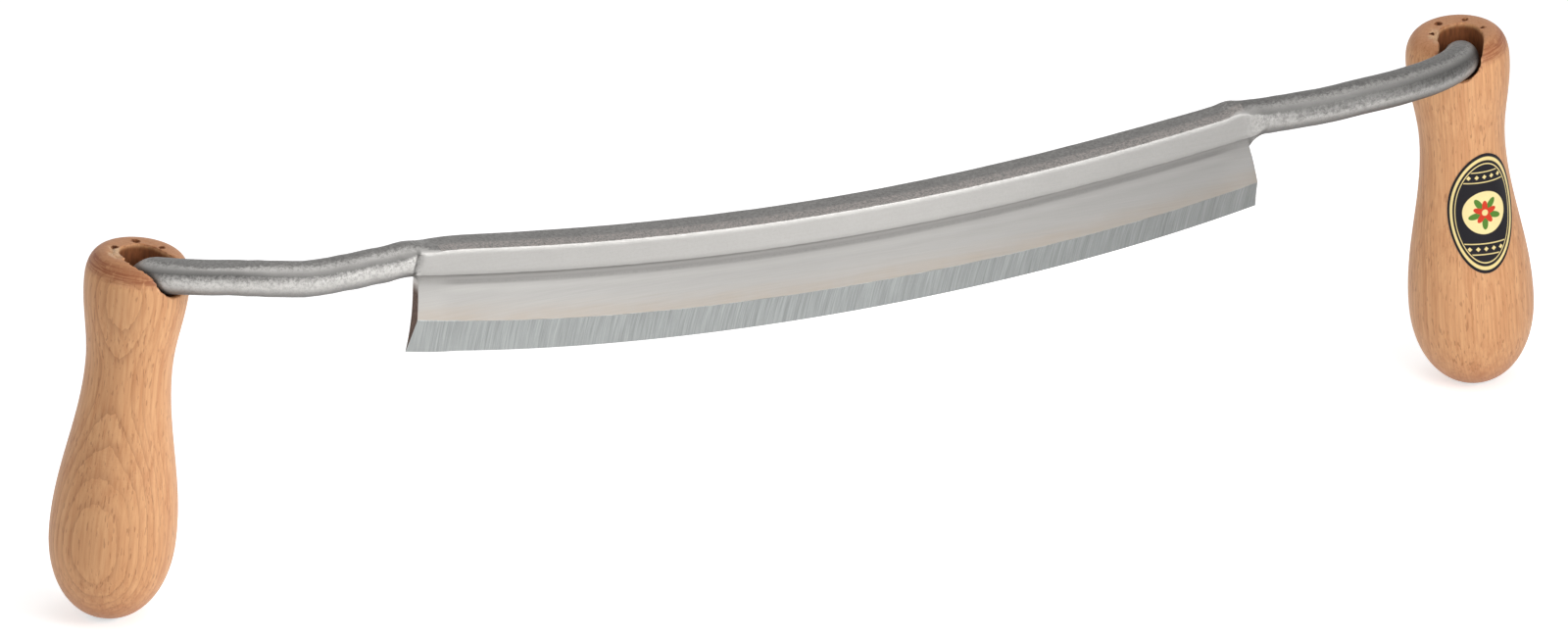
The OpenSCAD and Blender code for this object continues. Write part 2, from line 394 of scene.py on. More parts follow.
@dataclass(frozen=True)
class BarBend:
    """How the smith really bent one tang, which no two tangs share exactly.

    The bar leaves the straight run, swings back on an easy curve, meets the
    handle's axis a little off its middle and drops into the bore. Wave lists
    how far the straight parts sag or rise, by distance from the middle, and
    driven is how far up the handle sits from its drawn place.
    """

    leaves_at: float
    heading: float
    rise: float
    ease_in: float
    ease_out: float
    cross_z: float
    offset: tuple[float, float]
    wave: tuple[tuple[float, float], ...]
    driven: float
    drop_r: float = 8.9
    radius: float = 4.88
    step: float = 1.8
    taper: tuple[tuple[float, float], ...] = (
        (4.0, 4.86), (8.0, 4.78), (12.0, 4.62), (16.0, 4.38), (20.0, 4.15), (30.0, 3.6), (38.0, 3.15), (42.0, 2.97),
        (60.0, 2.97), (80.0, 2.97), (90.0, 2.97), (92.1, 2.97), (92.25, 4.05), (92.5, 4.2), (92.75, 4.0),
        (92.95, 3.3), (93.08, 2.4), (93.14, 1.4),
    )

    def lift(self, x: float) -> float:
        """Rise of the bar at a distance from the blade's middle."""
        return through(list(self.wave), x)

    def centres(self, route: TangRoute, first: float) -> list[tuple[Vector, float]]:
        """Points and radii along the bar's centre line.

        Args:
            route: The route that the tang was drawn for.
            first: Distance from the blade's middle at which to start.

        Returns:
            Pairs of a point and the bar's radius there.
        """
        place = route.at_handle()
        down = -(place.to_3x3() @ Vector((0, 0, 1))).normalized()
        a = math.radians(self.heading)
        inward = Vector((math.cos(a), math.sin(a), self.rise)).normalized()
        meet = place @ Vector((*self.offset, self.cross_z))
        drop = inward.angle(down)
        bend_at = meet - inward * self.drop_r * math.tan(drop / 2)
        leave = route.on_straight(self.leaves_at)
        begin, along = leave.translation, leave.to_3x3() @ Vector((1, 0, 0))

        points: list[Vector] = []
        x = first
        while x < self.leaves_at - self.step / 2:
            points.append(route.on_straight(x).translation)
            x += self.step
        holds = (begin, begin + along * self.ease_in, bend_at - inward * self.ease_out, bend_at)
        for i in range(25):
            t = i / 24
            shares = ((1 - t) ** 3, 3 * (1 - t) ** 2 * t, 3 * (1 - t) * t * t, t**3)
            points.append(sum((hold * share for hold, share in zip(holds, shares)), Vector()))
        across = inward.cross(down).normalized().cross(inward)
        for i in range(1, 15):
            turned_by = drop * i / 14
            points.append(bend_at + (inward * math.sin(turned_by) + across * (1 - math.cos(turned_by))) * self.drop_r)
        line = [(point + Vector((0, 0, self.lift(point.x))), self.radius) for point in points]

        low = (place.inverted() @ points[-1]).z
        for depth, radius in self.taper:
            depth -= self.driven if depth > 85 else 0
            if -depth < low - 1:
                fade = max(1 - (depth + low) / (20 + low), 0.0)
                line.append((place @ Vector((self.offset[0] * fade, self.offset[1] * fade, -depth)), radius))
        return line


def carried(line: list[tuple[Vector, float]], first: Matrix) -> Iterable[tuple[Matrix, float]]:
    """Carries a frame along a centre line without twisting it.

    Args:
        line: Points and radii.
        first: The frame to start from, with X along the line.

    Yields:
        Frames on the line and the radii there.
    """
    hold = first.to_3x3().to_quaternion()
    for i, (point, radius) in enumerate(line):
        before, after = line[max(i - 1, 0)][0], line[min(i + 1, len(line) - 1)][0]
        along = (after - before).normalized()
        hold = (hold @ Vector((1, 0, 0))).rotation_difference(along) @ hold
        yield Matrix.Translation(point) @ hold.to_matrix().to_4x4(), radius


# The forging


@dataclass(frozen=True)
class BladeCurves:
    """Heights of the blade's long lines, as curves over its half length."""

    half_len: float = 125.0
    web: float = 3.6
    shoulder: float = 4.6
    end_thinning: float = 0.5
    land: float = 0.08
    hollow: float = 0.24
    bevel_mid: float = 9.55
    bevel_fall: float = 0.85
    face_y: float = -9.05
    cove_w: float = 5.3
    cove_h: float = 5.2
    cove_drop: float = 3.8
    nose_r: float = 0.8
    crown: float = 0.12

    def spine_back(self, q: float) -> float:
        """Top of the spine at its back edge."""
        return 17.2 + 10.57 * q**2 - 1.31 * q**4

    def spine_front(self, q: float) -> float:
        """Top of the spine at its front edge."""
        return 16.34 + 9.86 * q**2

    def step_line(self, q: float) -> float:
        """Shadow line under the spine's front face."""
        return 7.3 + 10.41 * q**2 - 0.64 * q**4

    def edge(self, q: float) -> float:
        """Cutting edge."""
        return -17.18 + 9.43 * q**2 + 1.29 * q**4

    def bevel(self, q: float) -> float:
        """Height of the ground bevel, a little wider on the left."""
        return self.bevel_mid - self.bevel_fall * q


class Zone(Enum):
    """Stretches of the spine's outline, with their number of segments."""

    COVE = 6
    LIP = 1
    FACE = 7
    NOSE = 2
    CROWN = 8
    HEEL = 3
    BACK = 9


# Outline of the spine as zones in order, each with the angle at which it starts on the round bar
ROUND = (
    (Zone.COVE, 248.0),
    (Zone.LIP, 208.0),
    (Zone.FACE, 203.0),
    (Zone.NOSE, 150.0),
    (Zone.CROWN, 132.0),
    (Zone.HEEL, 48.0),
    (Zone.BACK, 30.0),
)
ROUND_END = -68.0


@dataclass(frozen=True)
class BladeEnd:
    """How one end of the blade was cut and drawn into its tang.

    The plate ends on a bowed, leaning line below a fillet. The spine's top
    slopes to the tang from the shoulder on, where it may swell a little, and
    its flat front ends at a crease.
    """

    notch_x: float
    lean: float
    bow: float
    fillet: float
    shoulder: float
    shoulder_len: float
    crease_x: float
    crease_lean: float
    crease: float
    swell: float
    swell_x: float = 116.0
    swell_len: float = 4.0
    droop: float = 0.0

    def plate_end(self, z: float, fillet_z: float) -> float:
        """Where the plate ends at a height.

        Args:
            z: The height.
            fillet_z: Height at which the fillet starts.

        Returns:
            Distance from the blade's middle.
        """
        if z > fillet_z:
            rise = min(z - fillet_z, self.fillet)
            return self.notch_x + self.fillet - math.sqrt(self.fillet**2 - rise**2)
        return self.notch_x + self.lean * min((fillet_z - z) / 17, 1.2) ** self.bow


@dataclass
class Forging:
    """Blade, spine and both tangs, drawn out of one bar."""

    ends: dict[Side, BladeEnd]
    bends: dict[Side, BarBend]
    name: str = "forged_blade_and_tangs"
    route: TangRoute = field(default_factory=TangRoute)
    curves: BladeCurves = field(default_factory=BladeCurves)
    bar_r: float = 4.88
    underside_z: float = 16.05
    body_step: float = 1.0
    root_x: float = 112.0
    root_step: float = 0.45
    bar_x: float = 131.0
    face_rows: int = 7
    bevel_rows: int = 5
    rung_cuts: int = 3
    y_front: float = -9.62
    z_top: float = 27.5
    z_soft: float = 0.5

    def __post_init__(self) -> None:
        """Works out the seats of a ring."""
        self.angles: list[float] = []
        self.zones: list[Zone] = []
        ends = [start for _, start in ROUND[1:]] + [ROUND_END]
        for (zone, start), end in zip(ROUND, ends):
            for i in range(zone.value):
                self.angles.append(start + (end - start) * i / zone.value)
                self.zones.append(zone)
        self.angles.append(ROUND_END)
        self.zones.append(Zone.BACK)
        self.last_spine = len(self.angles) - 1
        self.rows = self.face_rows + self.bevel_rows
        self.back_seats = [self.last_spine + k for k in range(self.rows + 1)]
        self.front_seats = [0] + [self.last_spine + 2 * self.rows + 1 - k for k in range(1, self.rows + 1)]
        self.seats = self.last_spine + 1 + 2 * self.rows
        gap = (ROUND_END + 360 - ROUND[0][1]) / (self.rung_cuts + 1)
        self.rung_angles = [ROUND[0][1] + gap * (k + 1) for k in range(self.rung_cuts)]

    # Outlines

    def spine_outline(self, q: float) -> list[tuple[float, float]]:
        """Outline of the spine by seat, from the notch line in front over the top to the back."""
        c = self.curves
        step, front, back = c.step_line(q), c.spine_front(q), c.spine_back(q)
        points: list[tuple[float, float]] = []
        for zone, _ in ROUND:
            for i in range(zone.value):
                t = i / zone.value
                if zone is Zone.COVE:
                    a = math.radians(90 * t)
                    points.append((c.face_y + c.cove_w * math.cos(a), step - c.cove_drop + c.cove_h * math.sin(a)))
                elif zone is Zone.LIP:
                    points.append((c.face_y + 0.12, step - c.cove_drop + c.cove_h))
                elif zone is Zone.FACE:
                    low, high = step - c.cove_drop + c.cove_h + 0.3, front - c.nose_r
                    points.append((c.face_y, low + (high - low) * t))
                elif zone is Zone.NOSE:
                    a = math.radians(180 - 90 * t)
                    middle = (c.face_y + c.nose_r, front - c.nose_r)
                    points.append((middle[0] + c.nose_r * math.cos(a), middle[1] + c.nose_r * math.sin(a)))
                elif zone is Zone.CROWN:
                    y = (c.face_y + c.nose_r) * (1 - t) - 0.6 * t
                    points.append((y, front + (back - front) * t + c.crown * math.sin(math.pi * t)))
                elif zone is Zone.HEEL:
                    a = math.radians(90 * t)
                    points.append((-0.6 + 0.6 * math.sin(a), back - 0.6 + 0.6 * math.cos(a)))
                else:
                    points.append((0.0, back - 0.6 + (step - c.cove_drop - back + 0.6) * t))
        points.append((0.0, step - c.cove_drop))
        return points

    def plate_point(self, row: int, q: float) -> tuple[float, float]:
        """Front of the plate at a row, counted down from the notch line."""
        c = self.curves
        high, edge = c.step_line(q) - c.cove_drop, c.edge(q)
        ridge, thick = edge + c.bevel(q), c.shoulder - c.end_thinning * q**4
        if row <= self.face_rows:
            t = row / self.face_rows
            return (-(c.web + (thick - c.web) * t) + 0.1 * math.sin(math.pi * t), high + (ridge - high) * t)
        t = (row - self.face_rows) / self.bevel_rows
        return (-(thick + (c.land - thick) * t) + c.hollow * math.sin(math.pi * t), ridge + (edge - ridge) * t)

    def notch(self, side: Side, x: float) -> float:
        """How far the notch's fillet has risen from the blade's end to the round bar."""
        if x <= self.body_end(side):
            return 0.0
        end = self.ends[side]
        fillet_z = self.underside_z - end.fillet
        low = self.plate_point(0, x / self.curves.half_len)[1]
        reach = min(max(end.notch_x + end.fillet - x, 0.0), end.fillet)
        height = fillet_z + math.sqrt(end.fillet**2 - reach**2)
        return min(max((height - low) / (self.underside_z - low), 0.0), 1.0)

    def body_end(self, side: Side) -> float:
        """Where the body's rings stop and the tang's root begins."""
        end = self.ends[side]
        low = self.plate_point(0, end.notch_x / self.curves.half_len)[1]
        return end.plate_end(low, self.underside_z - end.fillet)

    def roundness(self, side: Side, seat: int, x: float) -> float:
        """Share of the round bar in a seat's place, from 0 on the spine to 1 on the tang."""
        zone, end = self.zones[seat], self.ends[side]
        if zone is Zone.COVE:
            return self.notch(side, x)
        if zone in (Zone.LIP, Zone.FACE):
            t = min(max((x - self.crease_at(side, seat)) / 2.6, 0.0), 1.0)
            return 1 - (1 - t) ** 2
        upper = glide((x - end.shoulder) / end.shoulder_len)
        if zone is Zone.BACK:
            first = self.zones.index(Zone.BACK)
            share = (seat - first) / (self.last_spine - first)
            return upper * (1 - share) + self.notch(side, x) * share
        return upper

    def upness(self, seat: int) -> float:
        """How far up the spine a seat lies, from 0 at the notch line to 1 on the crown."""
        zone = self.zones[seat]
        share = (seat - self.zones.index(zone)) / zone.value
        return {Zone.COVE: 0.0, Zone.LIP: 0.0, Zone.FACE: share, Zone.BACK: 1 - share}.get(zone, 1.0)

    def crease_at(self, side: Side, seat: int) -> float:
        """Where the spine's flat front gives way to the tang, on a leaning line."""
        first = self.zones.index(Zone.LIP)
        up = (seat - first) / (Zone.LIP.value + Zone.FACE.value)
        return self.ends[side].crease_x + self.ends[side].crease_lean * (1 - up)

    # Rings

    def bar_point(self, place: Matrix, angle: float, radius: float, side: Side) -> Vector:
        """A point on the round bar, with the slight waves of forging."""
        a = math.radians(angle + self.route.dip)
        point = place @ Vector((0, radius * math.cos(a), radius * math.sin(a)))
        spot = Vector((point.x * side.sign, point.y, point.z))
        swell = noise.noise(spot / 8) * 0.05 + noise.noise(spot / 2.6 + Vector((7, 3, 1))) * 0.035
        return point + (point - place.translation).normalized() * swell

    def spine_point(self, side: Side, seat: int, x: float) -> Vector:
        """A seat's place on the spine or on the root of the tang, at x on the right side."""
        y, z = self.spine_outline(x / self.curves.half_len)[seat]
        point = Vector((x, y, z))
        end = self.ends[side]
        point.z += end.swell * math.exp(-(((x - end.swell_x) / end.swell_len) ** 2)) * self.upness(seat)
        if self.zones[seat] in (Zone.LIP, Zone.FACE):
            point.y += end.crease * math.exp(-(((x - self.crease_at(side, seat)) / 0.8) ** 2))
        share = self.roundness(side, seat, x)
        if share > 0:
            lift = Matrix.Translation((0, 0, self.bends[side].lift(x)))
            place = lift @ self.route.on_straight(x)
            point = point.lerp(self.bar_point(place, self.angles[seat], self.bar_r, side), share)
        return point

    def eased(self, z: float) -> float:
        """Lets a height run out softly below the part's top, so that the bar stays round."""
        over = z - (self.z_top - self.z_soft)
        return z if over < 0 else self.z_top - self.z_soft * math.exp(-over / self.z_soft)

    def hammered(self, point: Vector, side: Side, seat: int) -> Point:
        """Adds the forging's unevenness and puts the point on its side of the blade."""
        spot = Vector((point.x * side.sign, point.y, point.z))
        rough = 0.05
        if 0 < seat <= self.last_spine and self.zones[seat] in (Zone.NOSE, Zone.LIP):
            rough = 0.14
        push = noise.noise_vector(spot / 7) * 0.05 + noise.noise_vector(spot / 1.6) * rough * 0.5
        spot += Vector((0, push.y, push.z))
        highest = 0.0 if point.x < self.body_end(side) else 9.0
        spot.y = min(max(spot.y, self.y_front), highest)
        spot.z = self.eased(spot.z)
        return tuple(spot)

    def body_ring(self, x: float, side: Side) -> Callable[[int], Point]:
        """Places of all seats in a ring of the blade."""
        end, last = self.ends[side], self.body_end(side)
        fillet_z = self.underside_z - end.fillet
        places: dict[int, Point] = {}
        for seat in range(self.last_spine + 1):
            places[seat] = self.hammered(self.spine_point(side, seat, x), side, seat)
        for row in range(1, self.rows + 1):
            stretched = x * end.plate_end(self.plate_point(row, 0.98 * side.sign)[1], fillet_z) / last
            spot = side.sign * stretched
            y, z = self.plate_point(row, spot / self.curves.half_len)
            z -= end.droop * glide((x - 105) / 12) * row / self.rows
            if row == self.face_rows:
                z += 0.2 * noise.noise(Vector((spot / 5, 4.2, 0)))
            places[self.front_seats[row]] = (spot, y, z)
            places[self.back_seats[row]] = (spot, 0.0, z)
        return lambda seat: places[seat]

    def root_ring(self, x: float, side: Side) -> Callable[[int], Point]:
        """Places of all seats in a ring of the tang's root, beyond the notch."""
        def place(seat: int) -> Point:
            """One seat."""
            if seat <= self.last_spine:
                return self.hammered(self.spine_point(side, seat, x), side, seat)
            k = seat - self.seats
            low = self.plate_point(0, x / self.curves.half_len)
            flat = Vector((x, low[0] * (1 - (k + 1) / (self.rung_cuts + 1)), low[1]))
            lift = Matrix.Translation((0, 0, self.bends[side].lift(x)))
            bar = self.bar_point(lift @ self.route.on_straight(x), self.rung_angles[k], self.bar_r, side)
            return self.hammered(flat.lerp(bar, self.notch(side, x)), side, 0)
        return place

    def bar_ring(self, where: Matrix, radius: float, side: Side) -> Callable[[int], Point]:
        """Places of all seats in a ring of the round bar."""
        def place(seat: int) -> Point:
            """One seat."""
            angle = self.angles[seat] if seat <= self.last_spine else self.rung_angles[seat - self.seats]
            point = self.bar_point(where, angle, radius, side)
            return (side.sign * point.x, max(point.y, self.y_front), self.eased(point.z))
        return place

    # Work in order

    def draw_side(self, skin: DrawnSkin, side: Side) -> None:
        """Draws out one half of the blade, closes its end and goes on with the tang.

        Args:
            skin: The skin, open at the middle of the blade on this side.
            side: The side to draw out.
        """
        x, last = 0.0, self.body_end(side)
        while x < last - 1e-6:
            x = min(x + (self.body_step if x < self.root_x else self.root_step), last)
            skin.draw_out(self.body_ring(x, side))
        far = last - 1.5
        plate = set(self.back_seats) | set(self.front_seats)
        tip = {self.back_seats[-1], self.front_seats[-1]}
        rung = {0, self.last_spine}
        skin.pick_edges(lambda e, a, b: e.is_boundary and {a, b} <= plate and {a, b} != tip
                        and {a, b} != rung and side.sign * e.verts[0].co.x > far)
        bpy.ops.mesh.bridge_edge_loops()
        skin.pick_edges(lambda e, a, b: {a, b} == rung and side.sign * e.verts[0].co.x > far)
        bpy.ops.mesh.subdivide(number_cuts=self.rung_cuts)
        skin.seat_new(self.seats, lambda v: v.co.y, rung)
        skin.pick_edges(lambda e, a, b: e.is_boundary and side.sign * e.verts[0].co.x > far)
        while x < self.bar_x:
            x += self.root_step
            skin.draw_out(self.root_ring(x, side))
        line = self.bends[side].centres(self.route, x + 1.2)
        for where, radius in carried(line, self.route.on_straight(x)):
            skin.draw_out(self.bar_ring(where, radius, side))
        bpy.ops.mesh.edge_face_add()

    def build(self) -> bpy.types.Object:
        """Makes the whole forging as one closed mesh."""
        ring = self.body_ring(0.0, Side.RIGHT)
        skin = DrawnSkin(self.name, [ring(seat) for seat in range(self.seats)])
        bpy.ops.mesh.select_all(action="SELECT")
        self.draw_side(skin, Side.RIGHT)
        skin.pick_edges(lambda e, a, b: e.is_boundary and abs(e.verts[0].co.x) < 0.01)
        self.draw_side(skin, Side.LEFT)
        ridge = self.front_seats[self.face_rows]
        skin.pick_edges(lambda e, a, b: a == b == ridge)
        bpy.ops.mesh.mark_sharp()
        piece = skin.finish()
        smooth(piece, 38)
        return piece


# The handles


@dataclass(frozen=True)
class ProngMark:
    """A pit that a prong of the lathe's drive left in the top of a knob."""

    angle: float
    radius: float
    size: float
    length: float = 1.5


@dataclass
class Handle:
    """A turned handle with its hole, slot, bores and worn rim."""

    side: Side
    bend: BarBend
    marks: tuple[ProngMark, ...]
    hole: tuple[float, float, float]
    torn_at: float
    flare: float
    route: TangRoute = field(default_factory=TangRoute)
    knob_d: float = 28.4
    knob_at: float = 8.5
    knob_flat_d: float = 17.0
    neck_d: float = 23.4
    neck_at: float = 33.0
    belly_d: float = 34.3
    belly_up: float = 25.0
    knob_fullness: float = 2.3
    butt_fullness: float = 2.15
    hole_end: float = -16.0
    slot_gap: float = 0.8
    drop_gap: float = 0.25
    drop_end: float = -13.0
    bore_d: float = 10.4
    bore_end: float = -42.0
    tenon_d: float = 6.6
    recess_d: float = 11.4
    recess: float = 2.6
    voxel: float = 0.45
    rim_reach: float = 0.9

    def __post_init__(self) -> None:
        """Finds where the bar runs through the knob, in the handle's frame."""
        self.place = self.route.at_handle() @ Matrix.Translation((0, 0, self.bend.driven))
        home = self.place.inverted()
        line = [home @ point for point, _ in self.bend.centres(self.route, 140)]
        last = next(i for i, p in enumerate(line) if p.z < self.bend.cross_z - 5)
        self.way: list[Vector] = []
        for p in line[:last]:
            if p.xy.length < 19 and (not self.way or (p - self.way[-1]).length > 0.9):
                self.way.append(p)

    @property
    def name(self) -> str:
        """The piece's name."""
        return f"{self.side.value}_handle_turned"

    def flare_radius(self, depth: float) -> float:
        """Radius of the waist and the flare at a depth below the top."""
        belly_at = self.route.handle_len - self.belly_up
        if depth < self.neck_at:
            return cosine_blend(self.knob_d, self.neck_d, (depth - self.knob_at) / (self.neck_at - self.knob_at)) / 2
        return cosine_blend(self.neck_d, self.belly_d, (depth - self.neck_at) / (belly_at - self.neck_at)) / 2

    def outline(self) -> list[tuple[float, float]]:
        """Half outline of the blank as radius and height, from the top down to the end."""
        belly_at = self.route.handle_len - self.belly_up
        flat, power = self.knob_flat_d / 2, 2 / self.knob_fullness
        points = [(0.0, 0.0), (flat * 0.5, 0.0)]
        for i in range(15):
            a = math.radians(90 * i / 14)
            out, drop = math.sin(a) ** power, math.cos(a) ** power if i < 14 else 0.0
            points.append((flat + (self.knob_d / 2 - flat) * out, self.knob_at * (1 - drop)))
        depth = self.knob_at + 1.5
        while depth < belly_at - 0.5:
            points.append((self.flare_radius(depth), depth))
            depth += 1.5
        power = 2 / self.butt_fullness
        for i in range(24):
            a = math.radians(90 * i / 24)
            points.append((self.belly_d / 2 * math.cos(a) ** power, belly_at + self.belly_up * math.sin(a) ** power))
        points.append((0.0, self.route.handle_len))
        return [(radius, self.route.top_z - depth) for radius, depth in points]

    def drill(self, diameter: float, low: float, high: float, at: tuple[float, float] = (0.0, 0.0)) -> bpy.types.Object:
        """A drill along the handle's axis or beside it, between two heights."""
        clear_bench()
        bpy.ops.mesh.primitive_cylinder_add(
            vertices=72, radius=diameter / 2, depth=high - low, location=(*at, (low + high) / 2))
        return started("drill")

    def across(self, i: int) -> Vector:
        """Level direction across the bar at a point of its way."""
        along = self.way[min(i + 4, len(self.way) - 1)] - self.way[max(i - 4, 0)]
        return Vector((-along.y, along.x, 0)).normalized()

    def gap_at(self, i: int, end: float) -> float:
        """Half width of the slot at a point of the way, where one wall flares towards the hole."""
        near = glide((12 - self.way[i].xy.length) / 8) if end < 0 else 0.0
        return self.bend.radius + self.slot_gap + self.flare * near

    def slot_cutter(self) -> bpy.types.Object:
        """A trough that follows the bar, round below and open above."""
        deep = self.bend.radius + self.slot_gap

        def ring(i: int) -> list[Point]:
            """The trough's section at one point of the way."""
            middle, level = self.way[i], self.across(i)
            section = []
            for step in range(13):
                a = math.radians(180 + 15 * step)
                out = self.gap_at(i, math.cos(a)) * math.cos(a)
                section.append(tuple(middle + level * out + Vector((0, 0, deep * math.sin(a)))))
            for end in (1, -1):
                corner = middle + level * self.gap_at(i, end) * end
                section.append((corner.x, corner.y, self.route.top_z + 2))
            return section

        skin = DrawnSkin("slot_cutter", ring(0))
        bpy.ops.mesh.select_all(action="SELECT")
        for i in range(1, len(self.way)):
            section = ring(i)
            skin.draw_out(section.__getitem__)
        bpy.ops.mesh.edge_face_add()
        skin.pick_edges(lambda e, a, b: e.is_boundary)
        bpy.ops.mesh.edge_face_add()
        return skin.finish(1.0)

    def cut_tang_way(self, piece: bpy.types.Object) -> None:
        """Cuts the hole, the slot, the stepped bore and the washer's recess."""
        r = self.route
        carve(piece, self.drill(self.hole[2], self.hole_end, r.top_z + 1, self.hole[:2]))
        carve(piece, self.drill(2 * (self.bend.radius + self.drop_gap), self.drop_end, r.top_z + 1, self.bend.offset))
        carve(piece, self.slot_cutter())
        carve(piece, self.drill(self.bore_d, self.bore_end, self.hole_end + 1))
        carve(piece, self.drill(self.tenon_d, r.tip_z - 1, self.bore_end + 1))
        carve(piece, self.drill(self.recess_d, r.tip_z - 1, r.tip_z + self.recess))

    def from_void(self, p: Vector) -> tuple[float, Vector]:
        """Distance into the wood from the hole and the slot, and its direction."""
        hole = Vector((p.x - self.hole[0], p.y - self.hole[1], 0))
        near, away = hole.length - self.hole[2] / 2, hole.normalized()
        i = min(range(len(self.way)), key=lambda k: (self.way[k].xy - p.xy).length_squared)
        level = self.across(i)
        offset = p - self.way[i]
        out = offset.dot(level)
        reach = level * out + Vector((0, 0, min(offset.z, 0.0)))
        slot = reach.length - self.gap_at(i, out)
        if slot < near and (self.way[i].xy - p.xy).length < self.bend.radius + 3:
            return slot, reach.normalized()
        return near, away

    def skin_depth(self, p: Vector) -> float:
        """Depth of a point under the knob's outer surface."""
        depth = self.route.top_z - p.z
        side = self.flare_radius(max(depth, self.knob_at)) - math.hypot(p.x, p.y)
        flat, out = self.knob_flat_d / 2, math.hypot(p.x, p.y)
        if depth < self.knob_at and out > flat:
            share = min((out - flat) / (self.knob_d / 2 - flat), 1.0)
            crown = self.knob_at * (1 - (1 - share**self.knob_fullness) ** (1 / self.knob_fullness))
            return max(min(side, depth - crown), 0.0)
        return max(min(side, depth), 0.0)

    def tornness(self, p: Vector) -> float:
        """Share of torn fibres at a point, near one side of the hole's rim."""
        way = p.xy - Vector(self.hole[:2])
        turned_by = math.degrees(math.atan2(way.y, way.x)) - self.torn_at
        swing = abs((turned_by + 180) % 360 - 180)
        ragged = noise.noise(p * 0.7) * 1.6
        span = glide((42 - swing) / 25) * glide((self.hole[2] / 2 + 3.2 + ragged - way.length) / 1.2)
        return span * glide((5 - (self.route.top_z - p.z)) / 2)

    def wear_rim(self, piece: bpy.types.Object) -> None:
        """Chips and frays the rim round the hole and the slot, most on the torn side."""
        for vertex in piece.data.vertices:
            p = vertex.co
            if p.z < self.route.top_z - 16:
                continue
            near, away = self.from_void(p)
            under = self.skin_depth(p)
            torn = self.tornness(p)
            if torn > 0 and near > -0.3:
                rough = noise.noise(p * 1.5) + 0.7 * noise.noise(p * 3.4)
                p = p + Vector((0, 0, -0.5)) * torn * (0.55 + rough)
            if -0.3 < near < self.rim_reach and under < self.rim_reach:
                share = glide(1 - max(near, 0) / self.rim_reach) * glide(1 - under / self.rim_reach)
                chip = max(0.35 + noise.noise(p * 0.8) + 0.8 * noise.noise(p * 2.2), 0.0)
                p = p + (away * 0.7 + Vector((0, 0, -0.5))) * share * chip * (0.3 + 0.5 * torn)
            vertex.co = p

    def press_marks(self, piece: bpy.types.Object) -> None:
        """Sinks the prongs' pits into the knob's top."""
        for mark in self.marks:
            a = math.radians(mark.angle)
            reach = max(mark.radius - self.knob_flat_d / 2, 0) * 0.4
            spot = (mark.radius * math.cos(a), mark.radius * math.sin(a), self.route.top_z - 0.5 - reach)
            clear_bench()
            bpy.ops.mesh.primitive_cone_add(
                vertices=5, radius1=0.3 * mark.size, radius2=mark.size, depth=2.6, location=spot,
                rotation=(0, 0, a), scale=(mark.length, 1, 1))
            carve(piece, started("prong"))

    def paint(self, piece: bpy.types.Object) -> None:
        """Notes on the mesh how deep inside the tang's way and how torn each point is; the depth drives painted shade
        in the hole, the slot, the bore and the prong pits.
        """
        inside = piece.data.attributes.new("inside", "FLOAT", "POINT")
        torn = piece.data.attributes.new("torn", "FLOAT", "POINT")
        for i, vertex in enumerate(piece.data.vertices):
            p = vertex.co
            if p.z < self.bore_end - 1:
                continue
            out = math.hypot(p.x, p.y)
            depth = self.route.top_z - p.z
            if depth > 18:
                inside.data[i].value = 1.0 if out < self.bore_d / 2 + 1 else 0.0
                continue
            near, _ = self.from_void(p)
            pit = any(math.hypot(p.x - m.radius * math.cos(math.radians(m.angle)),
                                 p.y - m.radius * math.sin(math.radians(m.angle))) < m.size
                      for m in self.marks)
            under = self.skin_depth(p)
            # Painted shade: deeper into the tang's way is darker, and the prong pits and the skin round them are
            # darkest.
            shade = 1.6 * glide((under + 0.35) / 0.5) if pit else glide((under - 0.25) / 1.3)
            inside.data[i].value = shade if near < 0.7 or pit else 0.0
            torn.data[i].value = self.tornness(p)

    def build(self) -> bpy.types.Object:
        """Turns, cuts and wears the handle, and puts it in place."""
        piece = turned(self.name, self.outline(), 96)
        self.cut_tang_way(piece)
        fit_modifier(piece, "REMESH", mode="VOXEL", voxel_size=self.voxel)
        fit_modifier(piece, "SMOOTH", factor=0.5, iterations=1)
        self.wear_rim(piece)
        self.press_marks(piece)
        self.paint(piece)
        settle(piece, self.place, self.side.mirrored)
        smooth(piece, 40)
        return piece


@dataclass
class Washer:
    """The washer under the peened end of a tang."""

    side: Side
    driven: float
    route: TangRoute = field(default_factory=TangRoute)
    outer_d: float = 11.0
    hole_d: float = 6.2
    thick: float = 1.5
    seat: float = 2.6
    edge: float = 0.3

    def build(self) -> bpy.types.Object:
        """Turns the washer with broken edges and a slight dish."""
        low = self.route.tip_z + self.seat - self.thick
        high = low + self.thick
        outer, inner, e = self.outer_d / 2, self.hole_d / 2, self.edge
        ring = [
            (inner, low + e), (inner + e * 0.5, low), (inner + 1.1, low + 0.04), (outer - e, low), (outer - 0.08, low + 0.08),
            (outer, low + e), (outer, high - e), (outer - 0.08, high - 0.08), (outer - e, high), (inner + 1.1, high - 0.04),
            (inner + e * 0.5, high), (inner, high - e),
        ]
        piece = turned(f"{self.side.value}_washer_pressed", ring, 72, closed=True)
        settle(piece, self.route.at_handle() @ Matrix.Translation((0, 0, self.driven)), self.side.mirrored)
        smooth(piece, 35)
        return piece


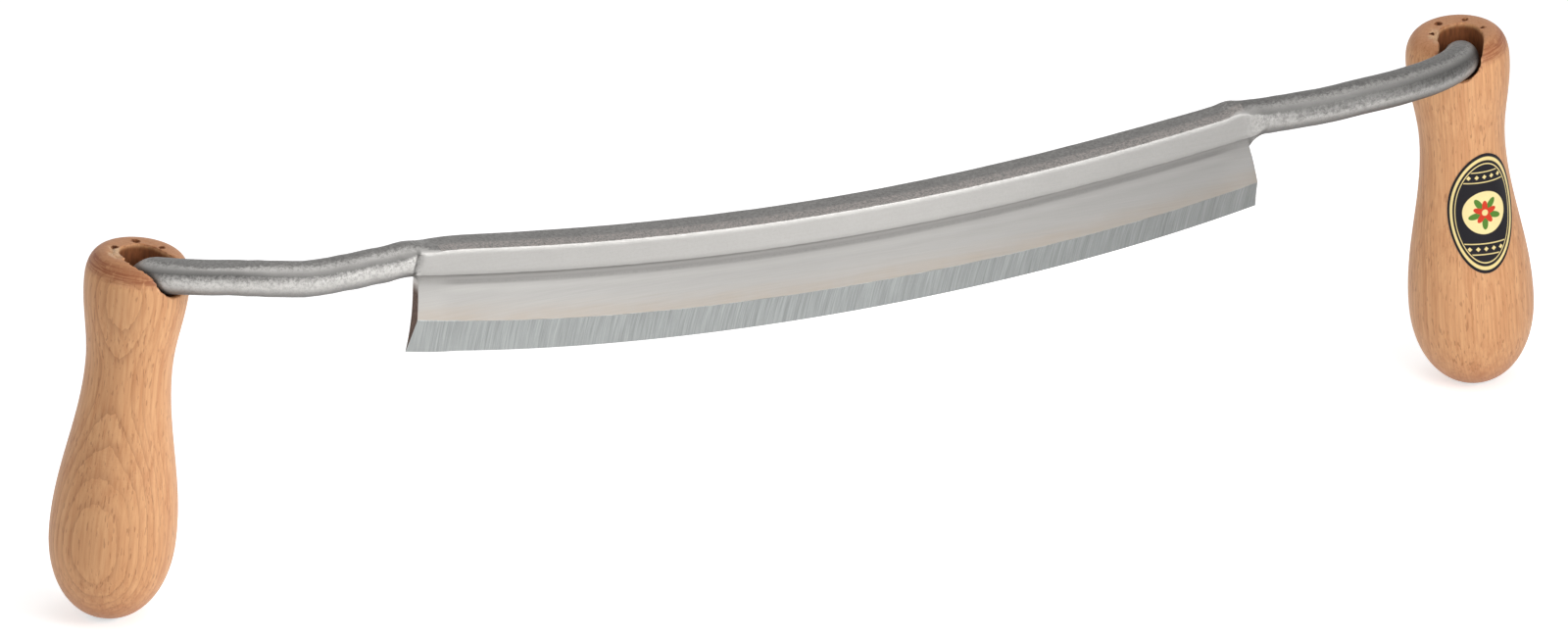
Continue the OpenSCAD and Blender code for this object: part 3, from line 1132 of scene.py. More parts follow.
@dataclass
class NeckLabel:
    """Oval paper label, bent round the front of the right handle."""

    name: str = "neck_label"
    route: TangRoute = field(default_factory=TangRoute)
    width: float = 18.6
    height: float = 34.0
    thick: float = 0.16
    glue: float = 0.05
    depth: float = 49.6
    facing: float = -151.0
    roll: float = -5.0
    columns: int = 64
    rows: int = 96

    def build(self, handle: bpy.types.Object) -> bpy.types.Object:
        """Cuts the oval from a sheet, lays it on the handle and gives it its thickness.

        Args:
            handle: The right handle, in place.

        Returns:
            The label, with its flat shape kept in its UV map.
        """
        clear_bench()
        bpy.ops.mesh.primitive_grid_add(x_subdivisions=self.columns, y_subdivisions=self.rows, size=2)
        piece = started(self.name)
        for vertex in piece.data.vertices:
            u, v = vertex.co.x, vertex.co.y
            vertex.co = (u * math.sqrt(1 - v * v / 2) * self.width / 2, v * math.sqrt(1 - u * u / 2) * self.height / 2, 0)
        flat = piece.data.uv_layers.active.data
        for loop in piece.data.loops:
            at = piece.data.vertices[loop.vertex_index].co
            flat[loop.index].uv = (at.x / self.width + 0.5, at.y / self.height + 0.5)
        stand = turn("Z", self.facing + 90) @ turn("X", 90) @ turn("Z", self.roll)
        lift = Matrix.Translation((0, 0, self.route.top_z - self.depth)) @ stand @ Matrix.Translation((0, 0, 30))
        take(piece)
        piece.matrix_world = Matrix.Scale(MM, 4) @ self.route.at_handle() @ lift
        bpy.ops.object.transform_apply(location=True, rotation=True, scale=True)
        away = (self.route.at_handle().to_3x3() @ stand.to_3x3() @ Vector((0, 0, 1))).normalized()
        self.lay_on(piece, handle, away)
        fit_modifier(piece, "SOLIDIFY", thickness=self.thick * MM, offset=1.0)
        take(piece)
        bpy.ops.object.mode_set(mode="EDIT")
        bpy.ops.mesh.select_all(action="SELECT")
        bpy.ops.mesh.normals_make_consistent(inside=False)
        bpy.ops.object.mode_set(mode="OBJECT")
        smooth(piece, 40)
        return piece

    def lay_on(self, piece: bpy.types.Object, handle: bpy.types.Object, away: Vector) -> None:
        """Presses the sheet onto the handle, straight back from the side it faces."""
        surface = handle.data
        tree = BVHTree.FromPolygons([v.co for v in surface.vertices], [tuple(p.vertices) for p in surface.polygons])
        for vertex in piece.data.vertices:
            hit, normal, _, _ = tree.ray_cast(vertex.co, -away)
            if hit is not None:
                vertex.co = hit + normal * self.glue * MM


# Finishes


class NodeSheet:
    """Draws shader nodes into one tree, so that a finish reads as a recipe."""

    def __init__(self, tree: bpy.types.NodeTree) -> None:
        """Starts on a tree."""
        self.tree = tree

    def add(self, kind: str, **settings: object) -> bpy.types.Node:
        """Adds one node with settings."""
        node = self.tree.nodes.new(kind)
        for key, value in settings.items():
            setattr(node, key, value)
        return node

    def feed(self, socket: bpy.types.NodeSocket, value: object) -> None:
        """Links a socket, or sets its plain value."""
        if isinstance(value, bpy.types.NodeSocket):
            self.tree.links.new(value, socket)
        elif value is not None:
            socket.default_value = value

    def math(self, operation: str, a: object, b: object = None, c: object = None) -> bpy.types.NodeSocket:
        """One math node."""
        node = self.add("ShaderNodeMath", operation=operation)
        for socket, value in zip(node.inputs, (a, b, c)):
            self.feed(socket, value)
        return node.outputs[0]

    def total(self, *terms: object) -> bpy.types.NodeSocket:
        """Sum of several values."""
        result = terms[0]
        for term in terms[1:]:
            result = self.math("ADD", result, term)
        return result

    def times(self, a: object, b: object) -> bpy.types.NodeSocket:
        """Product of two values."""
        return self.math("MULTIPLY", a, b)

    def span(self, value: object, low: float, high: float, to_low: float = 0.0, to_high: float = 1.0) -> bpy.types.NodeSocket:
        """Smoothly maps a range of values to another, held at both ends."""
        node = self.add("ShaderNodeMapRange", interpolation_type="SMOOTHSTEP")
        for socket, item in zip(node.inputs, (value, low, high, to_low, to_high)):
            self.feed(socket, item)
        return node.outputs[0]

    def mix(self, share: object, a: object, b: object, blend: str = "MIX") -> bpy.types.NodeSocket:
        """Mixes two colours."""
        node = self.add("ShaderNodeMix", data_type="RGBA", blend_type=blend)
        self.feed(node.inputs["Factor"], share)
        self.feed(node.inputs[6], a)
        self.feed(node.inputs[7], b)
        return node.outputs[2]

    def shade(self, colour: object, level: object) -> bpy.types.NodeSocket:
        """Lightens or darkens a colour by a factor."""
        node = self.add("ShaderNodeVectorMath", operation="SCALE")
        self.feed(node.inputs[0], colour[:3] if isinstance(colour, tuple) else colour)
        self.feed(node.inputs["Scale"], level)
        return node.outputs[0]

    def stretch(self, vector: object, scale: Point, rotation: Point = (0, 0, 0), location: Point = (0, 0, 0),
                kind: str = "POINT") -> bpy.types.NodeSocket:
        """Moves, turns and scales coordinates."""
        node = self.add("ShaderNodeMapping", vector_type=kind)
        self.feed(node.inputs["Vector"], vector)
        node.inputs["Scale"].default_value = scale
        node.inputs["Rotation"].default_value = rotation
        node.inputs["Location"].default_value = location
        return node.outputs[0]

    def noise(self, vector: object, scale: float, detail: float = 3.0, rough: float = 0.55, bend: float = 0.0) -> bpy.types.NodeSocket:
        """Noise from about 0.2 to 0.8 over millimetre coordinates."""
        node = self.add("ShaderNodeTexNoise")
        for key, value in (("Vector", vector), ("Scale", scale), ("Detail", detail), ("Roughness", rough), ("Distortion", bend)):
            self.feed(node.inputs[key], value)
        return node.outputs[0]

    def ramp(self, value: object, stops: Iterable[tuple[float, object]]) -> bpy.types.NodeSocket:
        """A curve of values or colours over 0 to 1."""
        node = self.add("ShaderNodeValToRGB")
        self.feed(node.inputs[0], value)
        band = node.color_ramp
        for i, (place, colour) in enumerate(stops):
            stop = band.elements[i] if i < 2 else band.elements.new(place)
            stop.position = place
            stop.color = (colour,) * 3 + (1,) if isinstance(colour, float) else colour
        return node.outputs[0]

    def split(self, vector: object) -> tuple[bpy.types.NodeSocket, ...]:
        """X, Y and Z of a vector."""
        node = self.add("ShaderNodeSeparateXYZ")
        self.feed(node.inputs[0], vector)
        return tuple(node.outputs)

    def in_mm(self) -> bpy.types.NodeSocket:
        """Object coordinates in millimetres."""
        return self.shade(self.add("ShaderNodeTexCoord").outputs["Object"], 1 / MM)

    def bump(self, height: object, distance: float, strength: float = 1.0, under: object = None) -> bpy.types.NodeSocket:
        """A normal from a height, where a height of 1 stands for the distance in millimetres."""
        node = self.add("ShaderNodeBump")
        node.inputs["Strength"].default_value = strength
        node.inputs["Distance"].default_value = distance * MM
        self.feed(node.inputs["Height"], height)
        self.feed(node.inputs["Normal"], under)
        return node.outputs[0]

    def group(self, tree: bpy.types.NodeTree, **values: object) -> bpy.types.Node:
        """Places a node group with its own values."""
        node = self.add("ShaderNodeGroup", node_tree=tree)
        for key, value in values.items():
            self.feed(node.inputs[key], value)
        return node


def effect(name: str, inputs: dict[str, str], outputs: dict[str, str]) -> tuple[bpy.types.NodeTree, NodeSheet, bpy.types.Node, bpy.types.Node]:
    """Starts a shader node group.

    Args:
        name: The group's name.
        inputs: Socket types by name.
        outputs: Socket types by name.

    Returns:
        The group, a sheet on it, and its input and output nodes.
    """
    tree = bpy.data.node_groups.new(name, "ShaderNodeTree")
    for label, kind in inputs.items():
        tree.interface.new_socket(label, in_out="INPUT", socket_type=kind)
    for label, kind in outputs.items():
        tree.interface.new_socket(label, in_out="OUTPUT", socket_type=kind)
    sheet = NodeSheet(tree)
    return tree, sheet, sheet.add("NodeGroupInput"), sheet.add("NodeGroupOutput")


FLOAT, VECTOR, COLOUR = "NodeSocketFloat", "NodeSocketVector", "NodeSocketColor"


def forge_grain() -> bpy.types.NodeTree:
    """Group for the grainy skin of forged steel: a height and a mask of dark scale."""
    tree, s, given, result = effect("forge_grain", {"Vector": VECTOR}, {"Height": FLOAT, "Scale": FLOAT, "Cloud": FLOAT})
    at = given.outputs["Vector"]
    coarse = s.noise(at, 1.1, 4.0, 0.62)
    fine = s.noise(at, 3.2, 3.0, 0.6)
    s.feed(result.inputs["Height"], s.total(s.times(coarse, 0.65), s.times(fine, 0.35)))
    s.feed(result.inputs["Scale"], s.span(s.total(s.times(coarse, 0.6), s.times(fine, 0.4)), 0.42, 0.62))
    s.feed(result.inputs["Cloud"], s.noise(at, 0.09, 3.0, 0.5))
    return tree


def blade_heights(curves: BladeCurves) -> bpy.types.NodeTree:
    """Group that measures where a point lies on the blade.

    Returns:
        A group whose outputs are the height above the edge, the height above
        the bevel's ridge and the depth below the lip of the spine's front.
    """
    tree, s, given, result = effect("blade_heights", {"Vector": VECTOR}, {"Rise": FLOAT, "AboveRidge": FLOAT, "UnderLip": FLOAT})
    x, _, z = s.split(given.outputs["Vector"])
    q = s.math("DIVIDE", x, curves.half_len)
    q2 = s.times(q, q)
    edge = s.total(s.times(q2, s.math("MULTIPLY_ADD", q2, 1.29, 9.43)), -17.18)
    rise = s.math("SUBTRACT", z, edge)
    ridge = s.math("MULTIPLY_ADD", q, -curves.bevel_fall, curves.bevel_mid)
    s.feed(result.inputs["Rise"], rise)
    s.feed(result.inputs["AboveRidge"], s.math("SUBTRACT", rise, ridge))
    lip = s.total(s.times(q2, s.math("MULTIPLY_ADD", q2, -0.64, 10.41)), 7.3 + curves.cove_h - curves.cove_drop)
    s.feed(result.inputs["UnderLip"], s.math("SUBTRACT", lip, z))
    return tree


def beech_grain() -> bpy.types.NodeTree:
    """Group for beech with its grain along Z: growth rings, dashes, streaks and a height."""
    tree, s, given, result = effect(
        "beech_grain", {"Vector": VECTOR, "RingGap": FLOAT},
        {"Rings": FLOAT, "Bands": FLOAT, "Flecks": FLOAT, "Streaks": FLOAT, "Height": FLOAT})
    at, gap = given.outputs["Vector"], given.outputs["RingGap"]
    x, y, _ = s.split(at)
    away = s.math("SQRT", s.total(s.times(x, x), s.times(y, y)))
    drift = s.noise(s.stretch(at, (0.06, 0.06, 0.03)), 1.0, 2.0)
    jitter = s.noise(s.stretch(at, (0.8, 0.8, 0.15)), 1.0, 2.0)
    phase = s.total(s.math("DIVIDE", away, gap), s.times(drift, 1.6), s.times(jitter, 0.3))
    saw = s.math("FRACT", phase)
    loud = s.noise(s.stretch(at, (0.12, 0.12, 0.02)), 1.0, 1.0)
    s.feed(result.inputs["Rings"], s.times(s.math("POWER", saw, 3.5), s.span(loud, 0.3, 0.6, 0.35, 1.0)))
    s.feed(result.inputs["Bands"], s.noise(s.stretch(s.math("FLOOR", phase), (0.37, 1, 1)), 1.0, 0.0))
    dash = s.noise(s.stretch(at, (1.9, 1.9, 0.3)), 1.0, 1.0, 0.4)
    crowd = s.noise(s.stretch(at, (0.3, 0.3, 0.1)), 1.0, 1.0)
    s.feed(result.inputs["Flecks"], s.span(s.total(dash, s.times(crowd, 0.2)), 0.735, 0.80))
    s.feed(result.inputs["Streaks"], s.noise(s.stretch(at, (1.0, 1.0, 0.035)), 1.0, 4.0, 0.65))
    pores = s.noise(s.stretch(at, (4.0, 4.0, 0.5)), 1.0, 2.0, 0.5)
    s.feed(result.inputs["Height"], s.total(s.times(pores, 0.6), s.times(dash, 0.5)))
    return tree


def dressed(piece: bpy.types.Object, material: bpy.types.Material) -> None:
    """Gives a piece one material all over."""
    piece.data.materials.clear()
    piece.data.materials.append(material)


def new_finish(name: str) -> tuple[bpy.types.Material, NodeSheet, bpy.types.Node]:
    """Starts a material and returns it with a sheet on it and its Principled shader."""
    material = bpy.data.materials.new(name)
    material.use_nodes = True
    return material, NodeSheet(material.node_tree), material.node_tree.nodes["Principled BSDF"]


@dataclass(frozen=True)
class ForgedFinish:
    """Forged, ground and heat-tinted steel of the blade and the tangs, with painted shade, painted reflection bands and
    a painted light falloff.
    """

    front: tuple = srgb(175, 173, 170)
    tint: tuple = srgb(173, 164, 154)
    bevel: tuple = srgb(160, 163, 162)
    rim: tuple = srgb(156, 149, 145)
    scale: tuple = srgb(104, 86, 78)
    metallic: float = 0.9
    anneal_h: float = 6.5
    # Painted light falloff: share of its brightness that the steel keeps at the right end.
    painted_falloff_right: float = 0.79
    # Painted shade and light under the spine's lip, by depth below the lip: a dark line just under it and lighter bands
    # on the plate below.
    painted_lip_light: tuple = (
        (0.0, 0.77), (1.0, 0.72), (0.04, 0.77), (0.08, 0.54), (0.25, 0.70), (0.33, 0.80), (0.45, 0.60), (0.55, 0.58),
        (0.65, 0.80), (0.80, 0.82))
    # Place of the painted shade in the crease at the left end of the spine's front: a point's x, the lean, and the
    # height it is measured from.
    crease_at: Point = (-124.3, 0.2208, 26.2)

    def build(self, grain: bpy.types.NodeTree, heights: bpy.types.NodeTree) -> bpy.types.Material:
        """Mixes the zones of the forging by height, and paints light, shade and reflection bands on it by the way the
        skin faces and by the distance along the blade.
        """
        material, s, shader = new_finish("forged_steel")
        at = s.in_mm()
        x, y, z = s.split(at)
        nx, ny, nz = s.split(s.add("ShaderNodeTexCoord").outputs["Normal"])
        skin = s.group(grain, Vector=at)
        where = s.group(heights, Vector=at)
        rise, above = where.outputs["Rise"], where.outputs["AboveRidge"]
        height, spots, cloud = (skin.outputs[k] for k in ("Height", "Scale", "Cloud"))

        # Painted reflection bands and shade: the forged skin is made lighter or darker by which way it faces, as the
        # studio's light and reflections would fall; the scale spots and cloud on top are the steel's own.
        tilt = s.total(nz, s.math("MULTIPLY_ADD", height, 0.5, -0.25))
        facing = s.math("MULTIPLY_ADD", tilt, 0.5, 0.5)
        painted_facing_light = s.ramp(facing, (
            (0.0, 0.22), (1.0, 0.43), (0.15, 0.38), (0.28, 0.70), (0.39, 0.98), (0.49, 1.0), (0.57, 0.83),
            (0.65, 0.52), (0.73, 0.27), (0.80, 0.43), (0.87, 0.68), (0.92, 0.68), (0.97, 0.44)))
        level = s.times(painted_facing_light, s.math("MULTIPLY_ADD", spots, -0.32, 1.16))
        level = s.times(level, s.math("MULTIPLY_ADD", cloud, 0.3, 0.85))
        forged = s.shade(self.front, level)

        streak = s.noise(s.stretch(at, (0.035, 1.0, 0.9)), 1.0, 3.0, 0.6)
        blotch = s.noise(at, 0.16, 2.0)
        near = s.span(s.total(above, s.math("MULTIPLY_ADD", streak, 5.0, -2.5)), 0.0, self.anneal_h, 1.0, 0.0)
        face = s.mix(s.times(near, s.math("MULTIPLY_ADD", blotch, 0.8, 0.35)), self.front, self.tint)
        lines = s.noise(s.stretch(at, (0.06, 0.3, 2.6)), 1.0, 3.0)
        face = s.shade(face, s.total(s.times(lines, 0.13), s.times(height, 0.11), 0.67))
        # Painted shade: the face darkens where it turns to face downwards into the cove.
        face = s.shade(face, s.span(nz, -0.75, -0.05, 0.62, 1.0))

        slanted = s.stretch(at, (2.6, 0.05, 0.05), (0, math.radians(3), 0))
        coarse = s.stretch(at, (0.6, 0.04, 0.04), (0, math.radians(1), 0))
        scratch = s.noise(slanted, 1.0, 3.0, 0.65)
        band = s.noise(coarse, 1.0, 2.0)
        marks = s.total(s.times(scratch, 0.68), s.times(band, 0.32))
        # The bevel is also given a painted light falloff, darker towards the right end.
        ground = s.shade(self.bevel, s.times(s.math("MULTIPLY_ADD", marks, 1.5, 0.25), s.span(x, -115.0, 125.0, 0.90, 0.77)))

        front_side = s.span(ny, -0.45, -0.15, 1.0, 0.0)
        on_blade = s.math("LESS_THAN", s.math("ABSOLUTE", x), 125.4)
        ragged = s.math("MULTIPLY_ADD", scratch, 0.9, -0.45)
        on_bevel = s.times(s.times(s.span(s.total(above, ragged), -0.12, 0.12, 1.0, 0.0), front_side), on_blade)
        on_face = s.times(s.times(s.span(nz, -0.85, -0.35), s.span(rise, 22.6, 20.9)), front_side)
        on_face = s.times(on_face, on_blade)
        flat_back = s.times(s.span(ny, 0.75, 0.95), on_blade)
        on_end = s.times(s.times(s.span(s.math("ABSOLUTE", nx), 0.6, 0.85), s.span(rise, 21.0, 17.0)), on_blade)
        on_top = s.times(s.span(nz, 0.7, 0.9), s.math("LESS_THAN", s.math("ABSOLUTE", x), 118.0))
        # Painted shade in the crease where the left end of the spine's flat front gives way to the tang.
        crease = s.total(x, -self.crease_at[0], s.math("MULTIPLY_ADD", z, -self.crease_at[1], self.crease_at[1] * self.crease_at[2]))
        crease = s.times(s.span(s.math("ABSOLUTE", crease), 1.1, 0.1), s.times(front_side, s.span(z, 17.2, 19.0)))
        crease = s.times(crease, s.span(z, 26.0, 24.6))

        # Painted shadow under the spine's lip, with painted lighter bands at the top of the plate; the blade's ends are
        # left out.
        under = s.times(s.ramp(s.math("DIVIDE", where.outputs["UnderLip"], 8.0), self.painted_lip_light), 1.3)
        plate = s.times(s.span(where.outputs["UnderLip"], 2.0, 5.0), s.span(above, -0.1, 0.1))
        # Painted light falloff on the plate: lighter at the left end, darker from the middle on.
        sides = s.math("MULTIPLY_ADD", plate, s.math("SUBTRACT", s.span(x, -115.0, -10.0, 1.09, 0.91), 1.0), 1.0)
        ends_off = s.span(s.math("ABSOLUTE", x), 119.0, 111.0)
        shadow = s.times(s.math("SUBTRACT", 1.0, under), s.times(ends_off, s.times(front_side, s.span(nz, 0.5, 0.1))))
        rim = s.times(on_top, s.times(s.span(y, -4.6, -6.2), s.span(s.noise(at, 1.7, 4.0, 0.7), 0.38, 0.62)))

        on_spine = s.times(s.span(x, -125.2, -123.6), s.span(x, 124.0, 116.0))
        on_spine = s.times(s.times(s.span(ny, -0.3, -0.6), on_spine), s.span(rise, 20.9, 22.6))
        dressed_front = s.shade(self.front, s.total(s.times(lines, 0.08), s.times(height, 0.16), 0.67))
        forged = s.mix(s.times(on_spine, 0.9), forged, dressed_front)
        colour = s.mix(on_face, forged, face)
        colour = s.shade(colour, s.times(s.math("SUBTRACT", 1.0, shadow), sides))
        colour = s.mix(rim, colour, self.rim)
        colour = s.mix(s.times(flat_back, 0.8), colour, s.shade(self.front, s.math("MULTIPLY_ADD", lines, 0.3, 0.7)))
        colour = s.mix(on_bevel, colour, ground)
        colour = s.mix(on_end, colour, s.shade(self.scale, s.math("MULTIPLY_ADD", spots, 0.7, 0.7)))
        # Painted light falloff: the steel darkens towards the right end, less on the top, with a painted dark
        # reflection band along the right tang where it faces halfway up; the flat back is left out.
        painted_falloff = s.times(s.span(x, 0.0, 125.0, 0.0, 1 - self.painted_falloff_right), s.math("MULTIPLY_ADD", on_top, -0.75, 1.0))
        painted_falloff = s.total(painted_falloff, s.times(s.span(x, 120.0, 138.0, 0.0, 0.34), s.times(s.span(facing, 0.74, 0.64), s.span(facing, 0.40, 0.54))))
        painted_falloff = s.times(painted_falloff, s.math("MULTIPLY_ADD", flat_back, -1.0, 1.0))
        colour = s.shade(colour, s.math("SUBTRACT", s.math("MULTIPLY_ADD", crease, -0.5, 1.0), painted_falloff))
        s.feed(shader.inputs["Base Color"], colour)
        rough = s.math("MULTIPLY_ADD", height, 0.3, 0.36)
        rough = s.total(rough, s.times(on_bevel, -0.1), s.times(on_end, 0.2))
        s.feed(shader.inputs["Roughness"], rough)
        shader.inputs["Metallic"].default_value = self.metallic
        relief = s.times(height, s.math("MULTIPLY_ADD", s.math("MAXIMUM", on_face, flat_back), -0.9, 1.0))
        relief = s.times(relief, s.math("MULTIPLY_ADD", on_bevel, -1.0, 1.0))
        relief = s.times(relief, s.math("MULTIPLY_ADD", on_spine, -0.7, 1.0))
        cut = s.times(s.times(scratch, on_bevel), 0.5)
        s.feed(shader.inputs["Normal"], s.bump(s.total(relief, cut), 0.09, 0.8))
        return material


@dataclass(frozen=True)
class WasherFinish:
    """Plain pressed steel of the washers."""

    colour: tuple = srgb(176, 176, 174)
    metallic: float = 0.9

    def build(self, grain: bpy.types.NodeTree) -> bpy.types.Material:
        """Steel with faint scale and hammer wear."""
        material, s, shader = new_finish("washer_steel")
        skin = s.group(grain, Vector=s.in_mm())
        s.feed(shader.inputs["Base Color"], s.shade(self.colour, s.math("MULTIPLY_ADD", skin.outputs["Scale"], -0.35, 1.05)))
        s.feed(shader.inputs["Roughness"], s.math("MULTIPLY_ADD", skin.outputs["Height"], 0.3, 0.3))
        shader.inputs["Metallic"].default_value = self.metallic
        s.feed(shader.inputs["Normal"], s.bump(skin.outputs["Height"], 0.06, 0.7))
        return material


@dataclass(frozen=True)
class BeechFinish:
    """Waxed beech, with the growth rings of one billet."""

    name: str
    route: TangRoute
    side: Side
    pith_from: Point
    smear_to: tuple[float, float]
    pith_reach: float = 58.0
    ring_gap: float = 0.95
    ring_depth: float = 0.35
    pale: tuple = srgb(219, 167, 120)
    warm: tuple = srgb(194, 136, 92)
    dark: tuple = srgb(136, 82, 50)
    end_grain: tuple = srgb(170, 112, 74)
    end_depth: float = 0.6
    smear: tuple = srgb(142, 80, 48)
    # Darker brown of the tang's way, painted as shade that deepens with depth.
    inner: tuple = srgb(131, 78, 44)
    torn: tuple = srgb(216, 178, 140)

    def billet(self) -> tuple[Vector, Point]:
        """Where the tree's pith lay, in metres, and how it was turned."""
        place = self.route.at_handle()
        axis = (place.to_3x3() @ Vector((0, 0, 1))).normalized()
        centre = place @ Vector((0, 0, -40))
        if self.side.mirrored:
            axis.x, centre.x = -axis.x, -centre.x
        from_pith = Vector(self.pith_from)
        from_pith = (from_pith - axis * from_pith.dot(axis)).normalized()
        turned_by = Matrix((from_pith, axis.cross(from_pith), axis)).transposed().to_euler()
        return (centre - from_pith * self.pith_reach) * MM, tuple(turned_by)

    def build(self, grain: bpy.types.NodeTree) -> bpy.types.Material:
        """Mixes the wood's colours by ring, fleck, mottle and end grain, and paints shade into the tang's way and the
        prong pits.
        """
        material, s, shader = new_finish(self.name)
        location, rotation = self.billet()
        source = s.add("ShaderNodeTexCoord")
        at = s.stretch(source.outputs["Object"], (MM, MM, MM), rotation, tuple(location), "TEXTURE")
        normal = s.stretch(source.outputs["Normal"], (1, 1, 1), rotation, (0, 0, 0), "TEXTURE")
        wood = s.group(grain, Vector=at, RingGap=self.ring_gap)
        rings, bands, flecks, streaks = (wood.outputs[k] for k in ("Rings", "Bands", "Flecks", "Streaks"))
        _, _, axial = s.split(normal)
        colour = s.mix(s.span(s.total(streaks, s.times(bands, 0.4)), 0.42, 1.0), self.pale, self.warm)
        colour = s.mix(s.times(rings, self.ring_depth), colour, self.dark)
        colour = s.mix(s.times(flecks, 0.42), colour, self.dark)
        blur = s.noise(s.stretch(at, (0.35, 0.35, 0.25)), 1.0, 3.0, 0.6)
        ends = s.span(s.total(s.math("ABSOLUTE", axial), s.times(blur, 0.5)), 0.45, 1.05)
        colour = s.mix(s.times(ends, self.end_depth), colour, self.end_grain)
        nx, ny, _ = s.split(source.outputs["Normal"])
        swing = s.total(s.times(nx, self.smear_to[0]), s.times(ny, self.smear_to[1]))
        shoulder = s.times(s.span(axial, 0.12, 0.4), s.span(axial, 0.95, 0.7))
        clump = s.span(s.total(blur, s.times(streaks, 0.6), s.times(swing, 0.35)), 0.72, 1.02)
        arcs = s.span(s.noise(s.stretch(at, (0.12, 0.12, 2.4)), 1.0, 2.0), 0.42, 0.58, 0.5, 1.0)
        colour = s.mix(s.times(s.times(shoulder, clump), s.times(arcs, 0.9)), colour, self.smear)
        inside = s.add("ShaderNodeAttribute", attribute_name="inside").outputs["Fac"]
        torn = s.add("ShaderNodeAttribute", attribute_name="torn").outputs["Fac"]
        splinters = s.noise(s.stretch(at, (1.6, 1.6, 1.6)), 1.0, 4.0, 0.7)
        colour = s.mix(s.times(torn, 0.8), colour, s.shade(self.torn, s.math("MULTIPLY_ADD", splinters, 1.6, 0.15)))
        # Painted shade in the tang's way and the prong pits, deepening with depth; the pits darkest.
        walls = s.noise(s.stretch(at, (1.1, 1.1, 0.25)), 1.0, 3.0, 0.6)
        colour = s.mix(inside, colour, s.shade(self.inner, s.math("MULTIPLY_ADD", walls, 1.6, 0.2)))
        colour = s.shade(colour, s.span(inside, 1.0, 1.6, 1.0, 0.4))
        s.feed(shader.inputs["Base Color"], colour)
        s.feed(shader.inputs["Roughness"], s.total(s.math("MULTIPLY_ADD", streaks, 0.15, 0.4), s.times(inside, 0.3)))
        shader.inputs["Specular IOR Level"].default_value = 0.35
        rough = s.total(wood.outputs["Height"], s.times(splinters, s.times(torn, 4.0)))
        s.feed(shader.inputs["Normal"], s.bump(rough, 0.06, 0.5))
        return material


@dataclass(frozen=True)
class LabelFinish:
    """Printed paper: gold lines and a rosette on black, without words."""

    width: float = 18.6
    height: float = 34.0
    black: tuple = srgb(32, 30, 35)
    gold: tuple = srgb(232, 211, 148)
    cream: tuple = srgb(240, 220, 160)
    red: tuple = srgb(205, 62, 40)
    green: tuple = srgb(86, 128, 52)
    roundel_r: float = 6.0
    petals: int = 5

    def build(self) -> bpy.types.Material:
        """Draws the print from the label's flat coordinates."""
        material, s, shader = new_finish("label_print")
        u, v, _ = s.split(s.add("ShaderNodeTexCoord").outputs["UV"])
        across = s.math("MULTIPLY_ADD", u, self.width, -self.width / 2)
        up = s.math("MULTIPLY_ADD", v, self.height, -self.height / 2)
        out = s.math("SQRT", s.total(s.times(across, across), s.times(up, up)))
        a, b = s.math("DIVIDE", across, self.width / 2), s.math("DIVIDE", up, self.height / 2)
        oval = s.math("SQRT", s.total(s.times(a, a), s.times(b, b)))

        def band(value: object, low: float, high: float, soft: float) -> bpy.types.NodeSocket:
            """A soft-edged band of values."""
            return s.times(s.span(value, low - soft, low + soft), s.span(value, high - soft, high + soft, 1.0, 0.0))

        gold = s.total(band(oval, 0.885, 0.945, 0.008), band(oval, 0.815, 0.835, 0.006))
        inside = s.span(oval, 0.80, 0.79)
        height_off = s.math("ABSOLUTE", up)
        bars = s.total(band(height_off, 8.5, 8.8, 0.1), band(height_off, 11.5, 11.8, 0.1))
        step = s.math("PINGPONG", across, 1.1)
        lozenge = s.total(step, s.math("ABSOLUTE", s.math("SUBTRACT", height_off, 10.15)))
        gold = s.total(gold, s.times(s.total(bars, s.span(lozenge, 0.75, 0.55)), inside))
        colour = s.mix(s.math("MINIMUM", gold, 1.0), self.black, self.gold)

        phi = s.math("ARCTAN2", up, across)
        petal = s.math("COSINE", s.math("MULTIPLY_ADD", phi, float(self.petals), -math.pi / 2))
        leaf = s.math("COSINE", s.math("MULTIPLY_ADD", phi, float(self.petals), math.pi / 2))
        colour = s.mix(s.span(out, self.roundel_r + 0.08, self.roundel_r - 0.08), colour, self.cream)
        on_leaf = s.span(s.math("SUBTRACT", out, s.math("MULTIPLY_ADD", leaf, 2.0, 2.75)), 0.1, -0.1)
        on_petal = s.span(s.math("SUBTRACT", out, s.math("MULTIPLY_ADD", petal, 0.95, 2.4)), 0.1, -0.1)
        colour = s.mix(on_leaf, colour, self.green)
        colour = s.mix(on_petal, colour, self.red)
        colour = s.mix(s.span(out, 0.95, 0.8), colour, self.gold)
        fibre = s.noise(s.in_mm(), 2.5, 3.0)
        colour = s.shade(colour, s.math("MULTIPLY_ADD", fibre, 0.12, 0.94))
        s.feed(shader.inputs["Base Color"], colour)
        s.feed(shader.inputs["Roughness"], s.math("MULTIPLY_ADD", fibre, 0.15, 0.3))
        shader.inputs["Specular IOR Level"].default_value = 0.12
        s.feed(shader.inputs["Normal"], s.bump(fibre, 0.02, 0.3))
        return material


# Studio


@dataclass(frozen=True)
class Softbox:
    """A square soft lamp that looks at a point along the tool, through a honeycomb of a given spread."""

    name: str
    azimuth: float
    elevation: float
    reach: float
    size: float
    level: float
    aim_x: float = 0.0
    spread: float = 180.0

    def build(self) -> None:
        """Hangs the lamp. Its level is the light that it adds on a surface that it looks at."""
        a, e = math.radians(self.azimuth), math.radians(self.elevation)
        back = Vector((math.sin(a) * math.cos(e), -math.cos(a) * math.cos(e), math.sin(e)))
        lamp = bpy.data.lights.new(self.name, "AREA")
        lamp.size = self.size
        lamp.spread = math.radians(self.spread)
        look = back * self.reach - Vector((self.aim_x, 0, 0))
        half = lamp.spread / 2
        gain = math.tan(half) / (math.tan(half) - half) if self.spread < 179 else 1.0
        lamp.energy = self.level * (math.pi * look.length) ** 2 / gain
        holder = bpy.data.objects.new(self.name, lamp)
        holder.location = back * self.reach
        holder.rotation_euler = look.to_track_quat("Z", "Y").to_euler()
        bpy.context.scene.collection.objects.link(holder)


